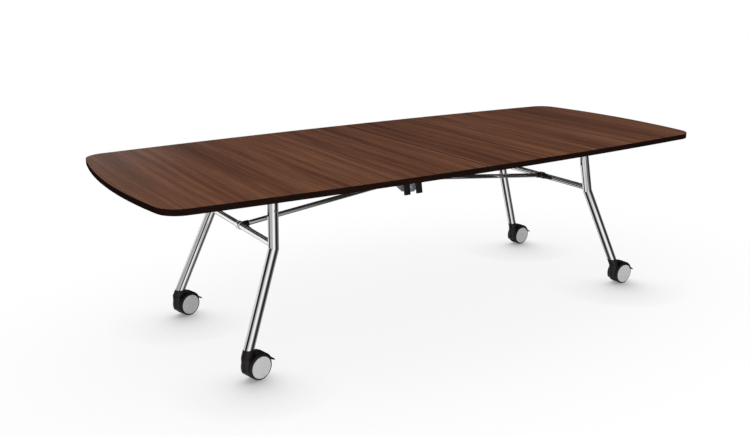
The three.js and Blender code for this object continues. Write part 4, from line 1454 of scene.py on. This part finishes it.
def legClearance():
    # room over the hood for the leaning leg's foot
    lean = legSet["foot"] - legSet["knee"]
    slope = math.hypot(lean.x, lean.y) / -lean.z
    top, hood = castorSet["top"], castorSet["hoodOuter"]
    radius = socketSet["radius"] * math.hypot(1, slope) + slope * (axleZ + hood - top) + castorSet["legClear"]
    return roundBar((0, 0, top), (0, 0, top + hood), radius, 0.0, castorSet["clearSides"])


def castorBody():
    web = castorSet["webHalf"]
    ear, pin = brakeSet["earRadius"], brakeSet["pinRadius"]
    webEdge = arcPoints(axleX, axleZ, brakeSet["pivotRadius"], brakeSet["pivotAngle"], castorSet["webTo"],
                        castorSet["webSteps"])
    body = join(
        hoodSector(),
        axleBar(web, castorSet["hubRadius"], 0.0, castorSet["hubSides"]),
        brakeBar(web, ear, brakeSet["earSides"]),
        slab(webEdge + [(axleX, axleZ)], upright, -web, web),
        bossSolid())
    wellEnd = castorSet["coverOut"] + castorSet["wellOver"]
    wells = [barY(axleX, axleZ, y0, y1, castorSet["hoodInner"], 0.0, castorSet["sides"])
             for y0, y1 in ((web, wellEnd), (-wellEnd, -web))]
    body = cut(
        body, *wells, legClearance(),
        brakeBar(brakeSet["slotHalf"], ear + brakeSet["slotFit"], brakeSet["earSides"]),
        brakeBar(2 * web, pin + boltFit, brakeSet["pinSides"]),
        axleBar(2 * web, castorSet["axleRadius"] + boltFit, 0.0, castorSet["thinSides"]))
    stem = roundBar((0, 0, castorSet["top"] - castorSet["stemRoot"]), (0, 0, castorSet["stemTop"]),
                    castorSet["stemRadius"], castorSet["stemEasing"], castorSet["thinSides"])
    return join(body, stem)


def turnedOnAxle(profile, side, closed=False):
    outwards = [(u, side * v) for u, v in profile]
    return turned(outwards, (axleX, 0, axleZ), (0, 1, 0), castorSet["sides"], closed)


def wheelSolid(side):
    # tyre with rounded shoulders, a parting line and a stepped rim round the cover
    radius, soft, steps = castorSet["wheelRadius"], castorSet["tyreRound"], castorSet["roundSteps"]
    near, far = castorSet["wheelIn"], castorSet["wheelOut"]
    middle, parting = (near + far) / 2, castorSet["partingHalf"]
    bore = castorSet["axleRadius"] + boltFit
    profile = [(bore, near)]
    profile += arcPoints(radius - soft, near + soft, soft, -math.pi / 2, 0, steps)
    profile += [(radius, middle - parting), (radius - castorSet["partingDepth"], middle)]
    profile += [(radius, middle + parting)]
    profile += arcPoints(radius - soft, far - soft, soft, 0, math.pi / 2, steps)
    profile += [(castorSet["coverRadius"] + u * mm, far + v * mm) for u, v in castorSet["rimGroove"]]
    profile.append((bore, far))
    return turnedOnAxle(profile, side, True)


def coverSolid(side):
    # slightly domed disc with a rolled rim
    radius, bead = castorSet["coverRadius"], castorSet["beadRadius"]
    back, face = castorSet["wheelOut"] + castorSet["coverGap"], castorSet["coverOut"]
    dome, domeStart = radius - castorSet["domeInset"], back + castorSet["domeRise"]
    steps = castorSet["domeSteps"]
    profile = [(0, back)] + [(radius + u * mm, back + v * mm) for u, v in castorSet["coverEdge"]]
    profile += arcPoints(radius - bead, back + castorSet["beadRise"], bead, 0, math.pi / 2,
                         castorSet["roundSteps"])
    profile.append((radius - castorSet["dishInset"], domeStart))
    for i in range(steps + 1):
        share = 1 - i / steps
        profile.append((dome * share, domeStart + (face - domeStart) * (1 - share ** 2)))
    return turnedOnAxle(profile, side)


def brakeLever():
    inner, outer, half = brakeSet["inner"], brakeSet["outer"], brakeSet["halfWidth"]
    middle = (inner + outer) / 2
    start, stop, steps = brakeSet["from"], brakeSet["to"], brakeSet["pedalSteps"]
    tip = start - brakeSet["tabDrop"]
    reach = outer + brakeSet["tabReach"]
    pedal = arcPoints(axleX, axleZ, outer, start, stop, steps)
    pedal += arcPoints(axleX, axleZ, inner, stop, start, steps)
    tab = [onRim(middle, start), onRim(reach, tip), onRim(reach, tip + brakeSet["tabTip"]),
           onRim(middle, start + brakeSet["tabRoot"])]
    hub, thick = brakeSet["hubRadius"], brakeSet["armHalf"]
    arm = [(brakePivot[0] - hub / 2, brakePivot[1]), onRim(middle, start), onRim(middle, (start + stop) / 2)]
    return join(
        slab(pedal, upright, -half, half, brakeSet["easing"]),
        slab(tab, upright, -half, half, brakeSet["easing"]),
        slab(arm, upright, -thick, thick),
        brakeBar(thick, hub, castorSet["thinSides"]),
        brakeBar(brakeSet["pinReach"], brakeSet["pinRadius"], brakeSet["pinSides"]))


def castorAxle():
    return axleBar(castorSet["axleReach"], castorSet["axleRadius"], castorSet["axleEasing"],
                   castorSet["thinSides"])


# each piece: its mesh, finish, slot and the starts of the names of the solids it stands for
castorParts = {
    "hood": (meshOf(castorBody(), "hood"), blackPlastic, "black_plastic", ("castor_body_",)),
    "axle": (meshOf(castorAxle(), "axle"), boltSteel, "bracket_steel", ()),
    "pedal": (meshOf(brakeLever(), "pedal"), blackPlastic, "black_plastic", ("brake_lever_", "brake_arm_")),
}
for wheelName, side in (("near", -1), ("far", 1)):
    tyre, disc = meshOf(wheelSolid(side), "tyre"), meshOf(coverSolid(side), "disc")
    castorParts["tyre_" + wheelName] = (tyre, tyreRubber, "wheel_tread", ("wheel_",))
    castorParts["disc_" + wheelName] = (disc, coverSilver, "silver_cover", ("wheel_cover_",))


def makeCastor(place):
    swivel = jointPlace["swivel_" + place]
    axle = jointAxis["roll_" + place + "_near"]
    turn = Matrix.Rotation(math.atan2(-axle.x, axle.y), 4, "Z")
    for part, (pattern, finish, slotName, starts) in castorParts.items():
        mesh = pattern.copy()
        mesh.transform(Matrix.Translation((swivel.x, swivel.y, 0)) @ turn)
        wheelName = part.partition("_")[2]
        nodes = [start + place + ("_" + wheelName if wheelName else "") for start in starts]
        body = None if nodes else "castor_" + place
        fitMesh("castor_" + part + "_" + place, mesh, [finish], slotName, nodes, body)


for endName in ends:
    for half in halves:
        makeCastor(endName + "_" + half)
for partSet in castorParts.values():
    bpy.data.meshes.remove(partSet[0])
print("castors made")


# Screw heads and grip ribs, set out by Geometry Nodes
screwSet = {
    "headRadius": 4.6 * mm,
    "headHeight": 2.4 * mm,
    "topShare": 0.66,
    "recessWidth": 1.1 * mm,
    "recessDepth": 1.3 * mm,
    "recessReach": 1.05,  # length of the cross over the head's radius
    "sides": 28,
    "seed": 7,
    "hingeY": (-345, -230, -115, 0, 115, 230, 345),  # mm
    "hingeX": 34 * mm,  # outwards of the hinge line
    "railX": 28 * mm,  # to both sides of the leg pivot
    "railY": (-312, -150, 0, 150, 312),  # mm
    "flange": (28 * mm, 24 * mm),
    "bolt": (5 * mm, 535 * mm),  # on the front of the yoke
    "boltRadius": 6.5 * mm,
}
ribSet = {
    "width": 23 * mm,
    "depth": 1.6 * mm,
    "height": 2.2 * mm,
    "first": 0.50,  # share of the arm's length where the ribs begin and end
    "last": 0.92,
    "count": 6,
    "proud": 0.1 * mm,
}


def newRow(name, sockets):
    tree = bpy.data.node_groups.new(name, "GeometryNodeTree")
    tree.interface.new_socket("Points", in_out="INPUT", socket_type="NodeSocketGeometry")
    for label, kind in sockets:
        tree.interface.new_socket(label, in_out="INPUT", socket_type="NodeSocket" + kind)
    tree.interface.new_socket("Geometry", in_out="OUTPUT", socket_type="NodeSocketGeometry")
    desk = NodeDesk(tree)
    return tree, desk, desk.add("NodeGroupInput").outputs, desk.add("NodeGroupOutput").inputs


def combined(desk, x, y, z):
    node = desk.add("ShaderNodeCombineXYZ")
    for socket, value in zip(node.inputs, (x, y, z)):
        desk.feed(socket, value)
    return node.outputs["Vector"]


def finishRow(desk, given, result, shape, rotation):
    placed = desk.add("GeometryNodeInstanceOnPoints")
    desk.feed(placed.inputs["Points"], given["Points"])
    desk.feed(placed.inputs["Instance"], shape)
    desk.feed(placed.inputs["Rotation"], rotation)
    real = desk.add("GeometryNodeRealizeInstances")
    desk.feed(real.inputs["Geometry"], placed.outputs["Instances"])
    painted = desk.add("GeometryNodeSetMaterial")
    desk.feed(painted.inputs["Geometry"], real.outputs["Geometry"])
    desk.feed(painted.inputs["Material"], given["Finish"])
    desk.feed(result["Geometry"], painted.outputs["Geometry"])


def screwTree():
    # a coned head with a cross recess, each one turned by chance
    tree, desk, given, result = newRow("screwRow", [
        ("Head radius", "Float"), ("Head height", "Float"), ("Top share", "Float"),
        ("Recess width", "Float"), ("Recess depth", "Float"), ("Facing", "Vector"), ("Spin", "Vector"),
        ("Seed", "Int"), ("Finish", "Material")])
    head = desk.add("GeometryNodeMeshCone")
    head.inputs["Vertices"].default_value = screwSet["sides"]
    desk.feed(head.inputs["Radius Bottom"], given["Head radius"])
    desk.feed(head.inputs["Radius Top"], desk.math("MULTIPLY", given["Head radius"], given["Top share"]))
    desk.feed(head.inputs["Depth"], given["Head height"])
    long = desk.math("MULTIPLY", given["Head radius"], screwSet["recessReach"])
    deep = desk.math("MULTIPLY", given["Recess depth"], 2.0)  # half of each blade is above the head
    width = given["Recess width"]
    recess = desk.add("GeometryNodeMeshBoolean", operation="DIFFERENCE")
    desk.feed(recess.inputs["Mesh 1"], head.outputs["Mesh"])
    for size in (combined(desk, long, width, deep), combined(desk, width, long, deep)):
        blade = desk.add("GeometryNodeMeshCube")
        desk.feed(blade.inputs["Size"], size)
        raised = desk.add("GeometryNodeTransform")
        desk.feed(raised.inputs["Geometry"], blade.outputs["Mesh"])
        desk.feed(raised.inputs["Translation"], combined(desk, 0.0, 0.0, given["Head height"]))
        desk.feed(recess.inputs["Mesh 2"], raised.outputs["Geometry"])
    chance = desk.add("FunctionNodeRandomValue", data_type="FLOAT")
    angle = next(socket for socket in chance.outputs if socket.enabled)
    limits = [socket for socket in chance.inputs if socket.enabled]
    limits[0].default_value, limits[1].default_value = 0.0, math.pi
    desk.feed(limits[-1], given["Seed"])
    scaled = desk.add("ShaderNodeVectorMath", operation="SCALE")
    desk.feed(scaled.inputs[0], given["Spin"])
    desk.feed(scaled.inputs["Scale"], angle)
    turn = desk.vector("ADD", given["Facing"], scaled.outputs["Vector"])
    finishRow(desk, given, result, recess.outputs["Mesh"], turn)
    return tree


def ribTree():
    tree, desk, given, result = newRow("ribRow", [
        ("Size", "Vector"), ("Facing", "Vector"), ("Finish", "Material")])
    rib = desk.add("GeometryNodeMeshCube")
    desk.feed(rib.inputs["Size"], given["Size"])
    finishRow(desk, given, result, rib.outputs["Mesh"], given["Facing"])
    return tree


def rowMesh(tree, points, values):
    mesh = bpy.data.meshes.new("rowPoints")
    mesh.from_pydata([tuple(point) for point in points], [], [])
    holder = bpy.data.objects.new("rowPoints", mesh)
    scene.collection.objects.link(holder)
    row = holder.modifiers.new("row", "NODES")
    row.node_group = tree
    for item in tree.interface.items_tree:
        if item.in_out == "INPUT" and item.name in values:
            row[item.identifier] = values[item.name]
    graph = bpy.context.evaluated_depsgraph_get()
    made = bpy.data.meshes.new_from_object(holder.evaluated_get(graph))
    holder.modifiers.remove(row)
    bpy.data.objects.remove(holder)
    bpy.data.meshes.remove(mesh)
    return made


def joinedMesh(name, meshes):
    bm = bmesh.new()
    for mesh in meshes:
        bm.from_mesh(mesh)
    joined = meshOf(bm, name)
    joined.materials.append(meshes[0].materials[0])
    for mesh in meshes:
        bpy.data.meshes.remove(mesh)
    return joined


def screwValues(facing, spin, radius):
    return {"Head radius": radius, "Head height": screwSet["headHeight"], "Top share": screwSet["topShare"],
            "Recess width": screwSet["recessWidth"], "Recess depth": screwSet["recessDepth"],
            "Facing": facing, "Spin": spin, "Seed": screwSet["seed"], "Finish": boltSteel}


def makeScrews():
    tree = screwTree()
    down = ((math.pi, 0, 0), (0, 0, 1))
    toFront = ((math.pi / 2, 0, 0), (0, 1, 0))
    radius = screwSet["headRadius"]
    hingeFace = undersideZ - hingeSet["plateThickness"]
    railFace = undersideZ - railSet["thickness"]
    leafPoints = [Vector((hingeLine.x + screwSet["hingeX"], y * mm, hingeFace)) for y in screwSet["hingeY"]]
    for offset in (-screwSet["railX"], screwSet["railX"]):
        leafPoints += [Vector((legPivot.x + offset, y * mm, railFace)) for y in screwSet["railY"]]
    for half, side in halves.items():
        points = [Vector((side * point.x, side * point.y, point.z)) for point in leafPoints]
        mesh = rowMesh(tree, points, screwValues(*down, radius))
        fitMesh("leaf_screws_" + half, mesh, [boltSteel], "bracket_steel", [], "leaf_" + half)
    flangeX, flangeY = screwSet["flange"]
    under = [Vector((x, y, yokeSet["flangeBottom"]))
             for x in (-flangeX, flangeX) for y in (-flangeY, flangeY)]
    boltX, boltZ = screwSet["bolt"]
    front = [Vector((boltX, -yokeSet["outer"], boltZ))]
    mesh = joinedMesh("centreScrews", [rowMesh(tree, under, screwValues(*down, radius)),
                                       rowMesh(tree, front, screwValues(*toFront, screwSet["boltRadius"]))])
    fitMesh("centre_screws", mesh, [boltSteel], "bracket_steel", [], "folding_centre")


def makeRibs():
    top = Vector((handleLine.y - handleSet["hubRadius"], handleLine.z))
    end = Vector((handleLine.y - handleSet["lean"] - handleSet["endRadius"],
                  handleLine.z - handleSet["length"]))
    run = end - top
    points = []
    for i in range(ribSet["count"]):
        share = ribSet["first"] + (ribSet["last"] - ribSet["first"]) * i / (ribSet["count"] - 1)
        place = top + run * share
        for side in (-1, 1):
            middle = side * (handleSet["armInset"] + handleSet["armOuter"]) / 2
            points.append(Vector((middle, place.x - ribSet["proud"], place.y)))
    lean = math.atan2(run.x, run.y) - math.pi
    values = {"Size": (ribSet["width"], ribSet["depth"], ribSet["height"]), "Facing": (-lean, 0, 0),
              "Finish": blackPlastic}
    mesh = rowMesh(ribTree(), points, values)
    fitMesh("paddle_ribs", mesh, [blackPlastic], "black_plastic", [], "release")


makeScrews()
makeRibs()
print("screws and ribs made")
